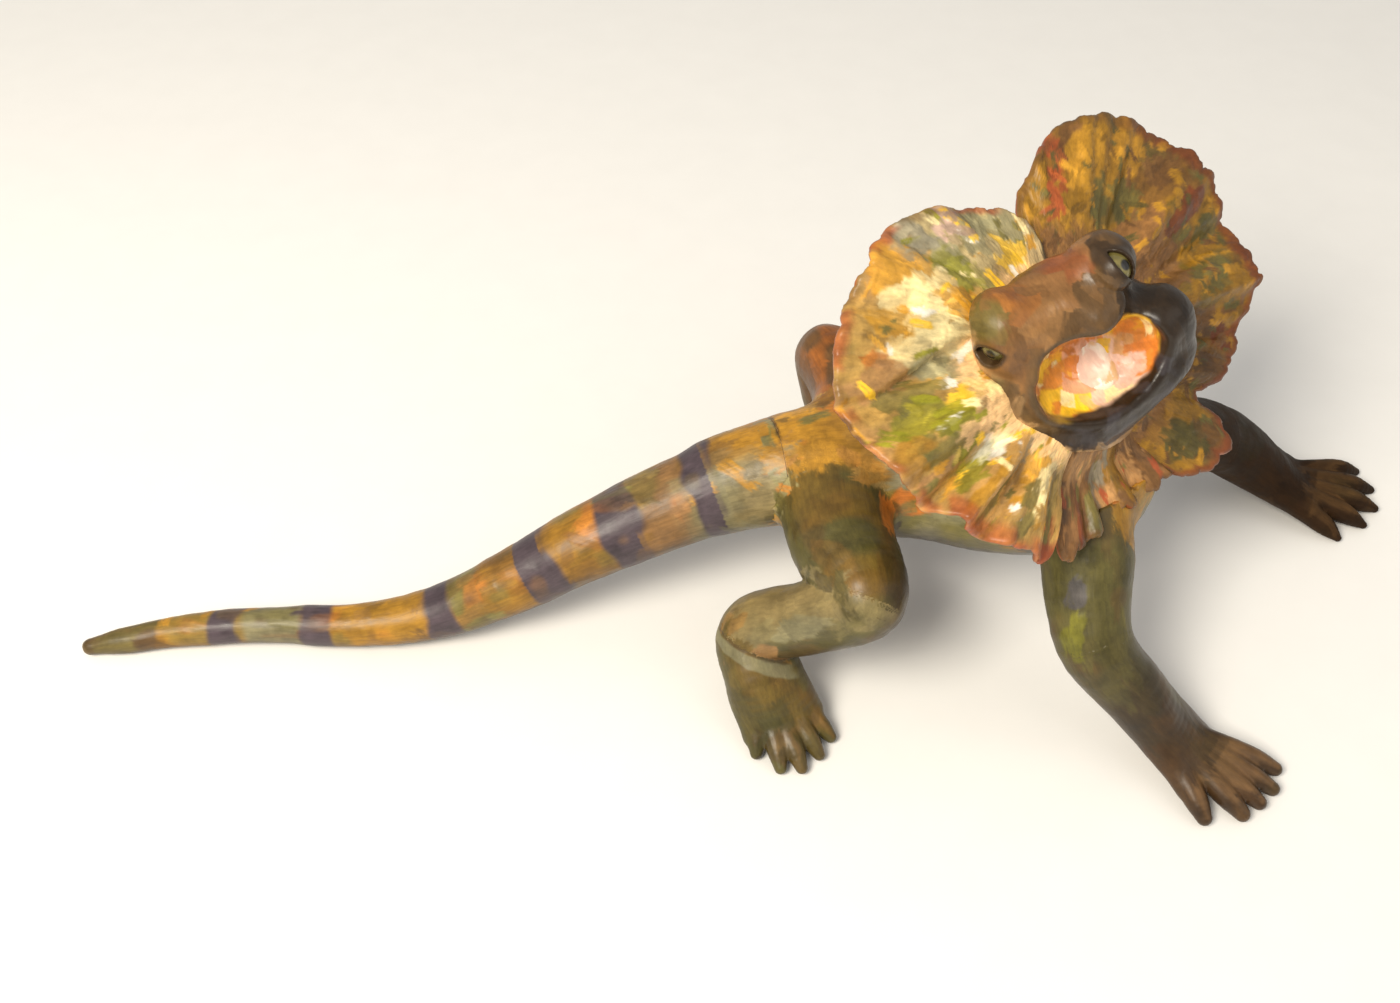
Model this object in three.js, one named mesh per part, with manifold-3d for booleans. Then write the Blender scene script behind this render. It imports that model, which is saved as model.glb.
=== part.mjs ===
// Frilled-lizard alebrije: a carved and painted wooden figure, put together from separate carved pieces.
// Millimetres, +Z up. The lizard stands on the plane z = 0 with its head towards +X.
import * as THREE from 'three';
import { mergeVertices } from 'three/addons/utils/BufferGeometryUtils.js';
import { ConvexGeometry } from 'three/addons/geometries/ConvexGeometry.js';
import Module from 'manifold-3d';

const wasm = await Module();
wasm.setup();

// ---------------------------------------------------------------- driving dimensions

const GAP = 0.3; // glue line or running gap between two pieces
const PEG_RADIUS = 2.5; // hardwood dowels in the limbs
const PEG_REACH = 8; // depth of a limb dowel in each piece
const NECK_PEG_RADIUS = 5;
const NECK_PEG_REACH = 12;
const TAIL_PEG_RADIUS = 5;
const TAIL_PEG_REACH = 15;
const SOLE_DEPTH = 40; // thickness of the block that planes the soles flat

const TRUNK_ACROSS = [-0.35, 0.94, 0]; // sideways direction of the trunk and neck
const TAIL_ACROSS = [0.15, 0.99, 0];

const FRILL_THICKNESS = 5;
const FRILL_HOLE = 15; // radius of the hole in the frill for the neck
const FRILL_HEADING = -48; // degrees from +X, the way the frill faces
const FRILL_PITCH = 50; // degrees above the ground, the way the frill faces
const FRILL_CENTRE = [117, -36.5, 128.5];
const THROAT_DROP = 12; // how far the frill falls back under the chin
const FLUTE_COUNT = 13; // pleats all the way round
const FLUTE_HEIGHT = 1.6;

const HEAD_HEADING = -66;
const HEAD_ROLL = 20; // the head is cocked, its left side up
const HEAD_PLACE = [104, -48, 159]; // midway between the eyes
const BOSS_LENGTH = 25; // turned boss that carries the head up through the frill
const EYE_RADIUS = 5.5;
const EYE_OFFSET = 21; // from the middle of the head

// Lumps that the head is carved from: middle (ahead, left, up of HEAD_PLACE) and radii.
const SKULL = [[[-5, 1, -9], [16, 24, 13]], [[9, 5, 2], [9, 22, 6]]];
const JAW = [[[-8, 4, -22], [16, 28, 14]], [[8, 9, -35], [11, 32, 10]]];
const MOUTH = [[[0, 4, -16], [6, 14, 8]], [[21, 6, -19], [7, 24, 15]]];
const BROW = { place: [-1, 19, 6], size: [9, 7, 7] };
const TONGUE_SPINE = [[2, 4, -20, 8, 4], [10, 5, -25, 8, 3.5], [17, 6, -28, 6, 3]];

// Half outline of a brad: radius, and height above its seat.
const BRAD_PROFILE = [[0, -9], [0.5, -8], [1, -7], [1, 0], [2.4, 0], [2.1, 0.8], [0, 1.2]];

// A finger or toe from knuckle to tip: share of the way, height above the ground, part of the full radius.
const DIGIT_STATIONS = [[0.2, 6, 1], [0.6, 5.2, 0.92], [0.9, 3, 0.7]];

const TAIL_SEAM = [27, -20, 58];
const TAIL_AXIS = [-0.98, -0.199, 0]; // the tail pulls off level, away from the hips

// Spines: [x, y, z, half width, half height] down the middle of each piece.
const TRUNK_SPINE = [
  [8, -23, 54, 17, 17],
  [27, -20, 58, 18.5, 18.5],
  [45, -20, 60, 22, 22],
  [80, -21, 61.5, 25.5, 25.5],
  [110, -28, 66, 28.5, 28.5],
  [130, -35, 74, 25, 26],
];
const NECK_SPINE = [
  [121, -32, 76, 22, 24],
  [126, -35, 96, 22, 22],
  [122, -36, 116, 24, 24],
  [115, -37, 140, 25, 24],
];
const TAIL_SPINE = [
  [44, -17, 60, 20, 20],
  [27, -20, 58, 18.5, 18.5],
  [7, -23, 53.6, 16.5, 16.5],
  [-36, -35, 40, 14, 14],
  [-65, -43, 26.4, 12, 12],
  [-96, -48, 13, 9.6, 9.6],
  [-125, -51, 8.7, 7.9, 7.9],
  [-155, -50, 7.6, 7, 7],
  [-184, -51, 6.6, 6, 6],
  [-210, -55, 5.4, 4.8, 4.8],
  [-224, -57, 3.8, 3, 3],
];

// Each leg: its segments from the body out, and the fingers or toes on the last one. root is where the
// hip or shoulder dowel crosses the joint, and across is the sideways direction of each segment's oval.
const LEGS = {
  front_right: {
    names: ['upper_arm_right', 'forearm_right'],
    pegs: ['shoulder_peg_right', 'elbow_peg_right'],
    root: { at: [127, -58, 71], along: [0.1, -0.75, -0.65] },
    across: [[0.95, 0.3, 0], [0.5, 0.86, 0]],
    segments: [
      [[124, -46, 78, 17, 17], [128, -62, 68, 15.5, 15.5], [131, -85, 46, 12.8, 13]],
      [
        [131, -85, 46, 12.8, 13],
        [147, -94, 28, 11.5, 11],
        [161, -101, 14, 13, 9.5],
        [173, -108, 5.5, 15, 7.5],
      ],
    ],
    digits: {
      from: [173, -108],
      radius: 4.2,
      tips: [[198, -107], [196, -116], [190, -122], [183, -126], [170, -128]],
    },
  },
  front_left: {
    names: ['upper_arm_left', 'forearm_left'],
    pegs: ['shoulder_peg_left', 'elbow_peg_left'],
    root: { at: [148, -16, 70], along: [0.85, 0.42, -0.33] },
    across: [[-0.33, 0.94, 0], [-0.2, 0.98, 0]],
    segments: [
      [[142, -20, 74, 17, 17], [166, -2, 60, 15.5, 15], [194, 18, 43, 14, 13.5]],
      [
        [194, 18, 43, 14, 13.5],
        [211, 23.5, 28, 14, 12.5],
        [226, 21.5, 14, 15.2, 9.5],
        [244, 17.5, 5.5, 16.5, 7.5],
      ],
    ],
    digits: {
      from: [244, 17.5],
      radius: 4.2,
      tips: [[268, 34], [272, 24], [270, 14], [262, 4], [251, -2]],
    },
  },
  hind_right: {
    names: ['thigh_right', 'shank_right', 'foot_right'],
    pegs: ['hip_peg_right', 'knee_peg_right', 'ankle_peg_right'],
    root: { at: [48, -42, 61], along: [0.2, -0.97, 0] },
    across: [[0, 0, 1], [0.3, 0.95, 0], [0.95, 0.3, 0]],
    segments: [
      [[47, -26, 60, 19, 19], [48, -56, 62, 17, 18], [54, -80, 62, 13.5, 13.5]],
      [[54, -80, 62, 13.5, 13.5], [37, -75, 45, 12.5, 12.5], [19, -70, 29, 12.5, 12.5]],
      [[19, -70, 29, 12.5, 12.5], [23, -82, 18, 14.5, 11], [28, -92, 5.5, 16.5, 7.5]],
    ],
    digits: {
      from: [28, -91],
      radius: 4.4,
      tips: [[19, -101], [27, -107], [35, -108], [41, -103], [46, -96]],
    },
  },
  hind_left: {
    names: ['thigh_left', 'shank_left', 'foot_left'],
    pegs: ['hip_peg_left', 'knee_peg_left', 'ankle_peg_left'],
    root: { at: [53, 2, 62], along: [0.1, 0.98, 0.1] },
    across: [[1, 0, 0], [0.7, -0.7, 0], [0.8, -0.55, 0]],
    segments: [
      [[50, -14, 60, 16, 17], [55, 12, 64, 13.5, 15], [48, 33, 65, 12, 12.5]],
      [[48, 33, 65, 12, 12.5], [53, 25, 46, 12, 12], [58, 17, 29, 12, 12]],
      [[58, 17, 29, 12, 12], [66, 25, 18, 14, 11], [73, 33, 5.5, 16, 7.5]],
    ],
    digits: {
      from: [72, 32],
      radius: 4.4,
      tips: [[70, 48], [78, 50], [86, 46], [90, 38], [90, 29]],
    },
  },
};

// Rim radius of each frill panel against the angle from the nape, towards the lizard's left.
const FRILL_PANELS = {
  frill_right: [
    [2, 42], [-12, 58], [-30, 76], [-50, 84], [-68, 88], [-86, 83], [-104, 75], [-125, 67], [-149, 63],
  ],
  frill_left: [
    [8, 44], [20, 56], [34, 73], [50, 87], [68, 93], [84, 90], [98, 89], [112, 76], [128, 64], [148, 71],
  ],
  frill_throat: [[152, 64], [166, 56], [180, 54], [194, 58], [208, 62]],
};
const BRAD_ANGLES = [-45, -110, 45, 110, 166, 194];
const BRAD_CIRCLE = 20; // radius of the ring of brads round the neck

const PAINT = {
  body: [0x8a7442, 0.45],
  tail: [0xa2783a, 0.4],
  limb: [0x6d6440, 0.45],
  head: [0xa8683a, 0.4],
  frill: [0xc08a4a, 0.5],
  tongue: [0xe8c4b8, 0.35],
  eye: [0xb9b24a, 0.2],
  dowel: [0xc9a878, 0.8],
  brad: [0x8f8a80, 0.4, 0.9],
};

// ---------------------------------------------------------------- shape helpers

const vector = ([x, y, z]) => new THREE.Vector3(x, y, z);
const radians = THREE.MathUtils.degToRad;
const clamp = THREE.MathUtils.clamp;
const smooth = THREE.MathUtils.smoothstep;

function toSolid(geometry) {
  const bare = geometry.clone();
  bare.deleteAttribute('normal');
  bare.deleteAttribute('uv');
  const merged = mergeVertices(bare);
  return new wasm.Manifold(new wasm.Mesh({
    numProp: 3,
    vertProperties: merged.attributes.position.array,
    triVerts: merged.index.array,
  }));
}

function toGeometry(manifold) {
  const mesh = manifold.getMesh();
  const geometry = new THREE.BufferGeometry();
  geometry.setAttribute('position', new THREE.BufferAttribute(mesh.vertProperties, 3));
  geometry.setIndex(new THREE.BufferAttribute(mesh.triVerts, 1));
  geometry.computeVertexNormals();
  return geometry;
}

// A round-ended bar along a spine: a sphere stretched out, ring by ring, along the curve.
function loft(spine, across, { sides = 12, rings = 8, caps = 3, grow = 0 } = {}) {
  const path = new THREE.CatmullRomCurve3(spine.map(vector));
  const girth = new THREE.SplineCurve(spine.map(([, , , w, h]) => new THREE.Vector2(w + grow, h + grow)));
  const rows = rings + 2 * caps;
  const skin = new THREE.SphereGeometry(1, sides, rows);
  const points = skin.attributes.position;
  for (let i = 0; i < points.count; i++) {
    const row = Math.round((Math.acos(clamp(points.getY(i), -1, 1)) / Math.PI) * rows);
    const t = clamp((row - caps) / rings, 0, 1);
    const past = Math.max(caps - row, row - caps - rings, 0) / caps;
    const swell = Math.cos((past * Math.PI) / 2);
    const size = girth.getPoint(t);
    const bulge = Math.sin((past * Math.PI) / 2) * Math.min(size.x, size.y) * (row < caps ? -1 : 1);
    const turn = Math.atan2(points.getZ(i), points.getX(i));
    const tangent = path.getTangent(t);
    const side = vector(across).projectOnPlane(tangent).normalize();
    const rise = tangent.clone().cross(side);
    const point = path.getPoint(t)
      .addScaledVector(side, Math.cos(turn) * size.x * swell)
      .addScaledVector(rise, Math.sin(turn) * size.y * swell)
      .addScaledVector(tangent, bulge);
    points.setXYZ(i, point.x, point.y, point.z);
  }
  return toSolid(skin);
}

function ellipsoid([x, y, z], [a, b, c], grow = 0, sides = 12, rows = 7) {
  return new THREE.SphereGeometry(1, sides, rows)
    .rotateX(Math.PI / 2)
    .scale(a + grow, b + grow, c + grow)
    .translate(x, y, z);
}

// The tight skin round several shapes.
function hull(...geometries) {
  const points = [];
  for (const geometry of geometries) {
    const place = geometry.attributes.position;
    for (let i = 0; i < place.count; i++) points.push(new THREE.Vector3().fromBufferAttribute(place, i));
  }
  return new ConvexGeometry(points);
}

function alignZ(direction) {
  return new THREE.Quaternion().setFromUnitVectors(new THREE.Vector3(0, 0, 1), direction.clone().normalize());
}

// A dowel centred on a seam.
function dowel(centre, direction, radius, length, grow = 0) {
  const rod = new THREE.CylinderGeometry(radius + grow, radius + grow, length + 2 * grow, 12)
    .rotateX(Math.PI / 2)
    .applyQuaternion(alignZ(direction))
    .translate(centre.x, centre.y, centre.z);
  return toSolid(rod);
}

// Everything past the plane through point, on the side that direction points to.
function beyond(point, direction, size = 90) {
  const unit = direction.clone().normalize();
  const centre = point.clone().addScaledVector(unit, size / 2);
  const block = new THREE.BoxGeometry(size, size, size)
    .applyQuaternion(alignZ(unit))
    .translate(centre.x, centre.y, centre.z);
  return toSolid(block);
}

// The main body of a piece, without the slivers that a cut leaves on its far side.
function largest(manifold) {
  return manifold.decompose().sort((a, b) => b.volume() - a.volume())[0];
}

const ground = toSolid(new THREE.BoxGeometry(700, 400, SOLE_DEPTH).translate(0, 0, -SOLE_DEPTH / 2));

// ---------------------------------------------------------------- the model

const figure = new THREE.Group();

function add(name, manifold, [color, roughness, metalness = 0]) {
  const material = new THREE.MeshStandardMaterial({ color, roughness, metalness });
  const mesh = new THREE.Mesh(toGeometry(manifold), material);
  mesh.name = name;
  figure.add(mesh);
}

// Frames of the frill and the head: which way each faces, its left, and its up.
function facing(heading, pitch, roll, place) {
  const turn = radians(heading);
  const rise = radians(pitch);
  const ahead = new THREE.Vector3(
    Math.cos(turn) * Math.cos(rise), Math.sin(turn) * Math.cos(rise), Math.sin(rise));
  const left = new THREE.Vector3(-Math.sin(turn), Math.cos(turn), 0).applyAxisAngle(ahead, radians(roll));
  const up = ahead.clone().cross(left);
  return { ahead, left, up, place: vector(place) };
}
const frill = facing(FRILL_HEADING, FRILL_PITCH, 0, FRILL_CENTRE);
const headFrame = facing(HEAD_HEADING, 0, HEAD_ROLL, HEAD_PLACE);
const headMatrix = new THREE.Matrix4()
  .makeBasis(headFrame.ahead, headFrame.left, headFrame.up)
  .setPosition(headFrame.place);
const inHead = (geometry) => toSolid(geometry.clone().applyMatrix4(headMatrix));

// ---- frill: three thin carved panels round the neck

function frillPoint(angle, radius, height) {
  return frill.place.clone()
    .addScaledVector(frill.up, Math.cos(angle) * radius)
    .addScaledVector(frill.left, Math.sin(angle) * radius)
    .addScaledVector(frill.ahead, height);
}

function frillHeight(angle, radius) {
  const throat = Math.max(0, -Math.cos(angle)) ** 2;
  const flute = Math.sin(angle * FLUTE_COUNT) * FLUTE_HEIGHT * smooth(radius, 30, 60);
  return flute - THROAT_DROP * throat * smooth(radius, 24, 40);
}

function frillPanel(rimPoints) {
  const rim = new THREE.SplineCurve(
    rimPoints.map(([angle, radius]) => new THREE.Vector2(radians(angle), radius)));
  const span = Math.abs(rimPoints.at(-1)[0] - rimPoints[0][0]);
  const steps = Math.round(span / 6);
  const sheet = new THREE.BoxGeometry(1, 1, 1, 5, steps, 1);
  const points = sheet.attributes.position;
  const flip = rimPoints.at(-1)[0] < rimPoints[0][0] ? 1 : -1;
  for (let i = 0; i < points.count; i++) {
    const edge = rim.getPoint(0.5 + flip * points.getY(i));
    const radius = THREE.MathUtils.lerp(FRILL_HOLE, edge.y, points.getX(i) + 0.5);
    const level = frillHeight(edge.x, radius) + points.getZ(i) * FRILL_THICKNESS;
    const point = frillPoint(edge.x, radius, level);
    points.setXYZ(i, point.x, point.y, point.z);
  }
  return toSolid(sheet);
}

// ---- brads through the frill into the neck

function brad(angle, grow = 0) {
  const profile = BRAD_PROFILE.map(([radius, height]) => (
    new THREE.Vector2(radius ? radius + grow : 0, height > 0 ? height + grow : height - grow)
  ));
  const seat = frillPoint(radians(angle), BRAD_CIRCLE, FRILL_THICKNESS / 2 + GAP);
  const nail = new THREE.LatheGeometry(profile, 6)
    .rotateX(Math.PI / 2)
    .applyQuaternion(alignZ(frill.ahead))
    .translate(seat.x, seat.y, seat.z);
  return toSolid(nail);
}

// ---- trunk and tail: one flowing shape, sawn apart at the root of the tail

const seam = vector(TAIL_SEAM);
const tailAxis = vector(TAIL_AXIS).normalize();
const collarDrop = FRILL_THICKNESS / 2 + GAP;
const collar = frill.place.clone().addScaledVector(frill.ahead, -collarDrop);

function trunk(grow = 0) {
  return loft(TRUNK_SPINE, TRUNK_ACROSS, { sides: 16, rings: 12, caps: 3, grow })
    .add(loft(NECK_SPINE, TRUNK_ACROSS, { sides: 14, rings: 6, caps: 2, grow }))
    .subtract(beyond(seam.clone().addScaledVector(tailAxis, grow), tailAxis))
    .subtract(beyond(collar.clone().addScaledVector(frill.ahead, grow), frill.ahead));
}
const trunkClearance = trunk(GAP);
const tailPegSocket = dowel(seam, tailAxis, TAIL_PEG_RADIUS, 2 * TAIL_PEG_REACH, GAP);
const neckPegSocket = dowel(collar, frill.ahead, NECK_PEG_RADIUS, 2 * NECK_PEG_REACH, GAP);

const tailStart = seam.clone().addScaledVector(tailAxis, GAP);
const tail = loft(TAIL_SPINE, TAIL_ACROSS, { sides: 12, rings: 24, caps: 2 })
  .subtract(beyond(tailStart, tailAxis.clone().negate()))
  .subtract(tailPegSocket);
add('tail', tail, PAINT.tail);
add('tail_peg', dowel(seam, tailAxis, TAIL_PEG_RADIUS, 2 * TAIL_PEG_REACH), PAINT.dowel);

// ---- legs: round-ended segments mitred at each knee, elbow and ankle, with a dowel across each seam

let trunkSolid = trunk().subtract(tailPegSocket).subtract(neckPegSocket);
let limbClearance = trunkClearance;

function segmentSeam(before, after) {
  const arriving = vector(before.at(-1)).sub(vector(before.at(-2))).normalize();
  const leaving = vector(after[1]).sub(vector(after[0])).normalize();
  return { at: vector(after[0]), along: arriving.add(leaving).normalize() };
}

function digit([x, y], radius, [tipX, tipY]) {
  const spine = DIGIT_STATIONS.map(([share, height, part]) => (
    [x + (tipX - x) * share, y + (tipY - y) * share, height, radius * part, radius * part]
  ));
  return loft(spine, [tipY - y, x - tipX, 0], { sides: 6, rings: 2, caps: 2 });
}

for (const { names, pegs, root, across, segments, digits } of Object.values(LEGS)) {
  const seams = [{ at: vector(root.at), along: vector(root.along).normalize() }];
  for (let i = 1; i < segments.length; i++) seams.push(segmentSeam(segments[i - 1], segments[i]));
  const sockets = seams.map(({ at, along }) => dowel(at, along, PEG_RADIUS, 2 * PEG_REACH, GAP));
  const segment = (i, grow = 0) => loft(segments[i], across[i], { sides: 12, rings: 5, caps: 2, grow });
  names.forEach((name, i) => {
    let piece = segment(i);
    if (i === names.length - 1) {
      for (const tip of digits.tips) piece = piece.add(digit(digits.from, digits.radius, tip));
      piece = piece.subtract(ground);
    }
    if (i === 0) {
      piece = largest(piece.subtract(trunkClearance).subtract(beyond(seam, tailAxis)));
      limbClearance = limbClearance.add(segment(i, GAP));
    } else {
      const { at, along } = seams[i];
      piece = piece.subtract(beyond(at.clone().addScaledVector(along, GAP / 2), along.clone().negate()));
      piece = piece.subtract(sockets[i]);
    }
    if (i < names.length - 1) {
      const { at, along } = seams[i + 1];
      piece = piece.subtract(beyond(at.clone().addScaledVector(along, -GAP / 2), along));
      piece = piece.subtract(sockets[i + 1]);
    }
    if (i === 0) piece = piece.subtract(sockets[0]);
    add(name, piece, PAINT.limb);
    add(pegs[i], dowel(seams[i].at, seams[i].along, PEG_RADIUS, 2 * PEG_REACH), PAINT.dowel);
  });
  trunkSolid = trunkSolid.subtract(sockets[0]);
}

// ---- head: skull, upper jaw and lower jaw in one block, with the mouth hollowed out

const skull = hull(...SKULL.map(([place, size]) => ellipsoid(place, size)));
const jaw = hull(...JAW.map(([place, size]) => ellipsoid(place, size)));
const mouth = hull(...MOUTH.map(([place, size]) => ellipsoid(place, size, 0, 12, 6)));

const tongue = (grow) => loft(TONGUE_SPINE, [0, 1, 0], { sides: 10, rings: 3, caps: 2, grow })
  .transform([...headMatrix.elements]);
const eyeSize = [EYE_RADIUS, EYE_RADIUS, EYE_RADIUS];
const eye = (side, grow) => inHead(ellipsoid([0, side * EYE_OFFSET, 0], eyeSize, grow));

const bossCentre = frill.place.clone().addScaledVector(frill.ahead, (BOSS_LENGTH - FRILL_THICKNESS) / 2);
const boss = dowel(bossCentre, frill.ahead, FRILL_HOLE - GAP, BOSS_LENGTH);
const headSeat = frill.place.clone().addScaledVector(frill.ahead, FRILL_THICKNESS / 2 + FLUTE_HEIGHT + GAP);
let head = inHead(skull).add(inHead(jaw));
for (const side of [-1, 1]) {
  const [x, y, z] = BROW.place;
  head = head.add(inHead(ellipsoid([x, side * y, z], BROW.size, 0, 10, 6)));
}
head = head
  .subtract(inHead(mouth))
  .subtract(beyond(headSeat, frill.ahead.clone().negate()))
  .add(boss.subtract(inHead(mouth)))
  .subtract(tongue(GAP))
  .subtract(neckPegSocket);
for (const side of [-1, 1]) head = head.subtract(eye(side, GAP));

// ---- frill panels, pinned between the neck and the head

for (const [name, rimPoints] of Object.entries(FRILL_PANELS)) {
  let panel = frillPanel(rimPoints).subtract(limbClearance);
  for (const angle of BRAD_ANGLES) panel = panel.subtract(brad(angle, GAP));
  add(name, panel, PAINT.frill);
}
BRAD_ANGLES.forEach((angle, i) => {
  add(`frill_brad_${i + 1}`, brad(angle), PAINT.brad);
  trunkSolid = trunkSolid.subtract(brad(angle, GAP));
});

add('torso', trunkSolid, PAINT.body);
add('head', head, PAINT.head);
add('neck_peg', dowel(collar, frill.ahead, NECK_PEG_RADIUS, 2 * NECK_PEG_REACH), PAINT.dowel);
add('tongue', tongue(0), PAINT.tongue);
add('eye_right', eye(-1, 0), PAINT.eye);
add('eye_left', eye(1, 0), PAINT.eye);

// ---------------------------------------------------------------- origin: middle of the box, on the ground

const box = new THREE.Box3().setFromObject(figure, true);
const middle = box.getCenter(new THREE.Vector3());
figure.position.set(-middle.x, -middle.y, -box.min.z);
const part = new THREE.Group();
part.add(figure);

export default part;
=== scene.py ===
"""Looks of the frilled-lizard alebrije: copal wood, carved in pieces, painted by hand and varnished.

Shapes are worked out in millimetres on the carver's bench, the frame that the spines below are given in.
set_points() turns them into metres in the frame of the pack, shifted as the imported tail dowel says.
"""
import itertools
import math

import bmesh
import bpy
import numpy as np
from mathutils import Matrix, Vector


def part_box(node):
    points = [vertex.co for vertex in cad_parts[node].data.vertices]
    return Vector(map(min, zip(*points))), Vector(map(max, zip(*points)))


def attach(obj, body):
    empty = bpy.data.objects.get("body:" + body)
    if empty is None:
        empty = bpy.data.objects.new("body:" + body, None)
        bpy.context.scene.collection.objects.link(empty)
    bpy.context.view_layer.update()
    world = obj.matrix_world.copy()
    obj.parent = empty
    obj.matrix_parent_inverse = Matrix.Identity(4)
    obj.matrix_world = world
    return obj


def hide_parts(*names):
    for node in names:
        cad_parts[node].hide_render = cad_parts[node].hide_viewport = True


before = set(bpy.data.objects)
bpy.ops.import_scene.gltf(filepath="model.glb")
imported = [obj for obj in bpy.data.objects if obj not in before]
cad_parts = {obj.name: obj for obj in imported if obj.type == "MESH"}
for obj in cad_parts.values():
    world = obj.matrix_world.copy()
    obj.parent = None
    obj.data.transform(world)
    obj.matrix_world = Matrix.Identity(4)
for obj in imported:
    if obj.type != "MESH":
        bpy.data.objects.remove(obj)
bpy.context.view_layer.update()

import openvdb
from mathutils import Vector

# ---------------------------------------------------------------- sizes, in millimetres

MM = 0.001  # in metres
VOXEL = 0.75  # fineness of the carved pieces
LEG_VOXEL = VOXEL * 0.85
HEAD_VOXEL = 0.5
EYE_VOXEL = 0.3
SHEET_STEP = 0.65  # fineness of the frill
BLOCK = 4  # voxels along a block that is skipped when the surface doesn't cross it
FAR = 14.0  # beyond this, the distance to a bar is only roughly right
FLESH = 7.0  # how softly a leg flows into the body
NAPE = 9.0  # how softly the neck does
RUMP = 3.0  # how softly the tail does
GLUE = 1.3  # how far glued pieces reach into one another
SAWN = 0.08  # half the saw cut at the root of the tail
SPARE = 3.0  # wood left past the saw cut until it is sawn
BORE_RADIUS = 5.4
BORE_DEPTH = 15.8

TAIL_SEAM = np.array([27.0, -20, 58])
TAIL_AXIS = np.array([-0.98, -0.199, 0])

# Spines: [x, y, z, half width, half height] down the middle of each piece, and the sideways direction.
TRUNK = [
    [8, -23, 54, 17, 17], [27, -20, 58, 18.5, 18.5], [45, -20, 60, 22, 22], [80, -21, 61.5, 25.5, 25.5],
    [110, -28, 66, 28.5, 28.5], [130, -35, 74, 25, 26],
]
NECK = [[121, -32, 76, 22, 24], [126, -35, 96, 22, 22], [122, -36, 116, 24, 24], [115, -37, 140, 25, 24]]
TRUNK_ACROSS = [-0.35, 0.94, 0]
TAIL = [
    [44, -17, 60, 20, 20], [27, -20, 58, 18.5, 18.5], [7, -23, 53.6, 16.5, 16.5], [-36, -35, 40, 14, 14],
    [-65, -43, 26.4, 12, 12], [-96, -48, 13, 9.6, 9.6], [-125, -51, 8.7, 7.9, 7.9], [-155, -50, 7.6, 7, 7],
    [-184, -51, 6.6, 6, 6], [-210, -55, 5.4, 4.8, 4.8], [-224, -57, 3.8, 3, 3],
]
TAIL_ACROSS = [0.15, 0.99, 0]

# Each leg: one spine, the stations where its pieces meet, the sideways direction of each piece, and the
# fingers or toes, which fan out from the palm and run back up it to the wrist.
LEGS = {
    "front_right": {
        "pieces": ["upper_arm_right", "forearm_right"],
        "spine": [
            [124, -46, 78, 17, 17], [128, -62, 68, 15.5, 15.5], [131, -85, 46, 12.8, 13],
            [147, -94, 28, 11.5, 11], [160, -100, 14, 13, 8.5], [171, -108.5, 5.5, 15, 5.5],
        ],
        "joints": [2],
        "across": [[0.95, 0.3, 0], [0.5, 0.86, 0]],
        "wrist": [156, -96, 18],
        "digit_radius": 4.4,
        "tip_radius": 2.6,
        "tips": [[199, -109], [196, -117], [190, -122.5], [183, -127], [169.5, -128.5]],
    },
    "front_left": {
        "pieces": ["upper_arm_left", "forearm_left"],
        "spine": [
            [142, -20, 74, 17, 17], [166, -2, 60, 15.5, 15], [193, 14, 42, 14, 13],
            [210, 21.5, 27, 14.2, 12], [226, 22.5, 14, 16.2, 9.5], [242, 18.5, 6, 18.3, 6],
        ],
        "joints": [2],
        "across": [[-0.33, 0.94, 0], [-0.2, 0.98, 0]],
        "wrist": [219, 21, 18],
        "digit_radius": 4.4,
        "tip_radius": 1.6,
        "tips": [[270.5, 33], [273.5, 22.5], [272, 12], [264.5, 3], [252, -4]],
    },
    "hind_right": {
        "pieces": ["thigh_right", "shank_right", "foot_right"],
        "spine": [
            [47, -26, 60, 19, 19], [48, -56, 62, 17, 18], [54, -80, 62, 13.5, 13.5],
            [37, -75, 45, 12.5, 12.5], [19, -70, 29, 12.5, 12.5], [23, -82, 18, 14, 10.5],
            [29, -91.5, 6, 15.5, 6.5],
        ],
        "joints": [2, 4],
        "across": [[0, 0, 1], [0.3, 0.95, 0], [0.95, 0.3, 0]],
        "wrist": [21, -74, 25],
        "digit_radius": 4.0,
        "tip_radius": 2.2,
        "tips": [[19.5, -103], [28, -109], [35.5, -109], [42, -103.5], [46.5, -96]],
    },
    "hind_left": {
        "pieces": ["thigh_left", "shank_left", "foot_left"],
        "spine": [
            [50, -14, 60, 16, 17], [55, 12, 64, 13.5, 15], [48, 33, 65, 12, 12.5], [53, 25, 46, 12, 12],
            [58, 17, 29, 12, 12], [66, 25, 18, 13.5, 10.5], [73, 32, 6, 15, 6.5],
        ],
        "joints": [2, 4],
        "across": [[1, 0, 0], [0.7, -0.7, 0], [0.8, -0.55, 0]],
        "wrist": [61, 18, 25],
        "digit_radius": 4.0,
        "tip_radius": 2.2,
        "tips": [[70, 49], [78, 51], [86, 47], [91, 39], [91, 30]],
    },
}

HEAD_PLACE = np.array([104.0, -48, 159])  # midway between the eyes
HEAD_ROOM = [[52, 50, 62], [52, 46, 30]]  # how far the head may reach below and above that
HEAD_HEADING = math.radians(-66)
HEAD_ROLL = math.radians(20)
FRILL_CENTRE = np.array([117.0, -36.5, 128.5])
FRILL_HEADING = math.radians(-48)
FRILL_PITCH = math.radians(50)
FRILL_THICKNESS = 5.0
FRILL_HOLE = 15.0
PANEL_GAP = 2.4  # kept clear behind the middle of a panel
THROAT_DROP = 12.0


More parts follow.
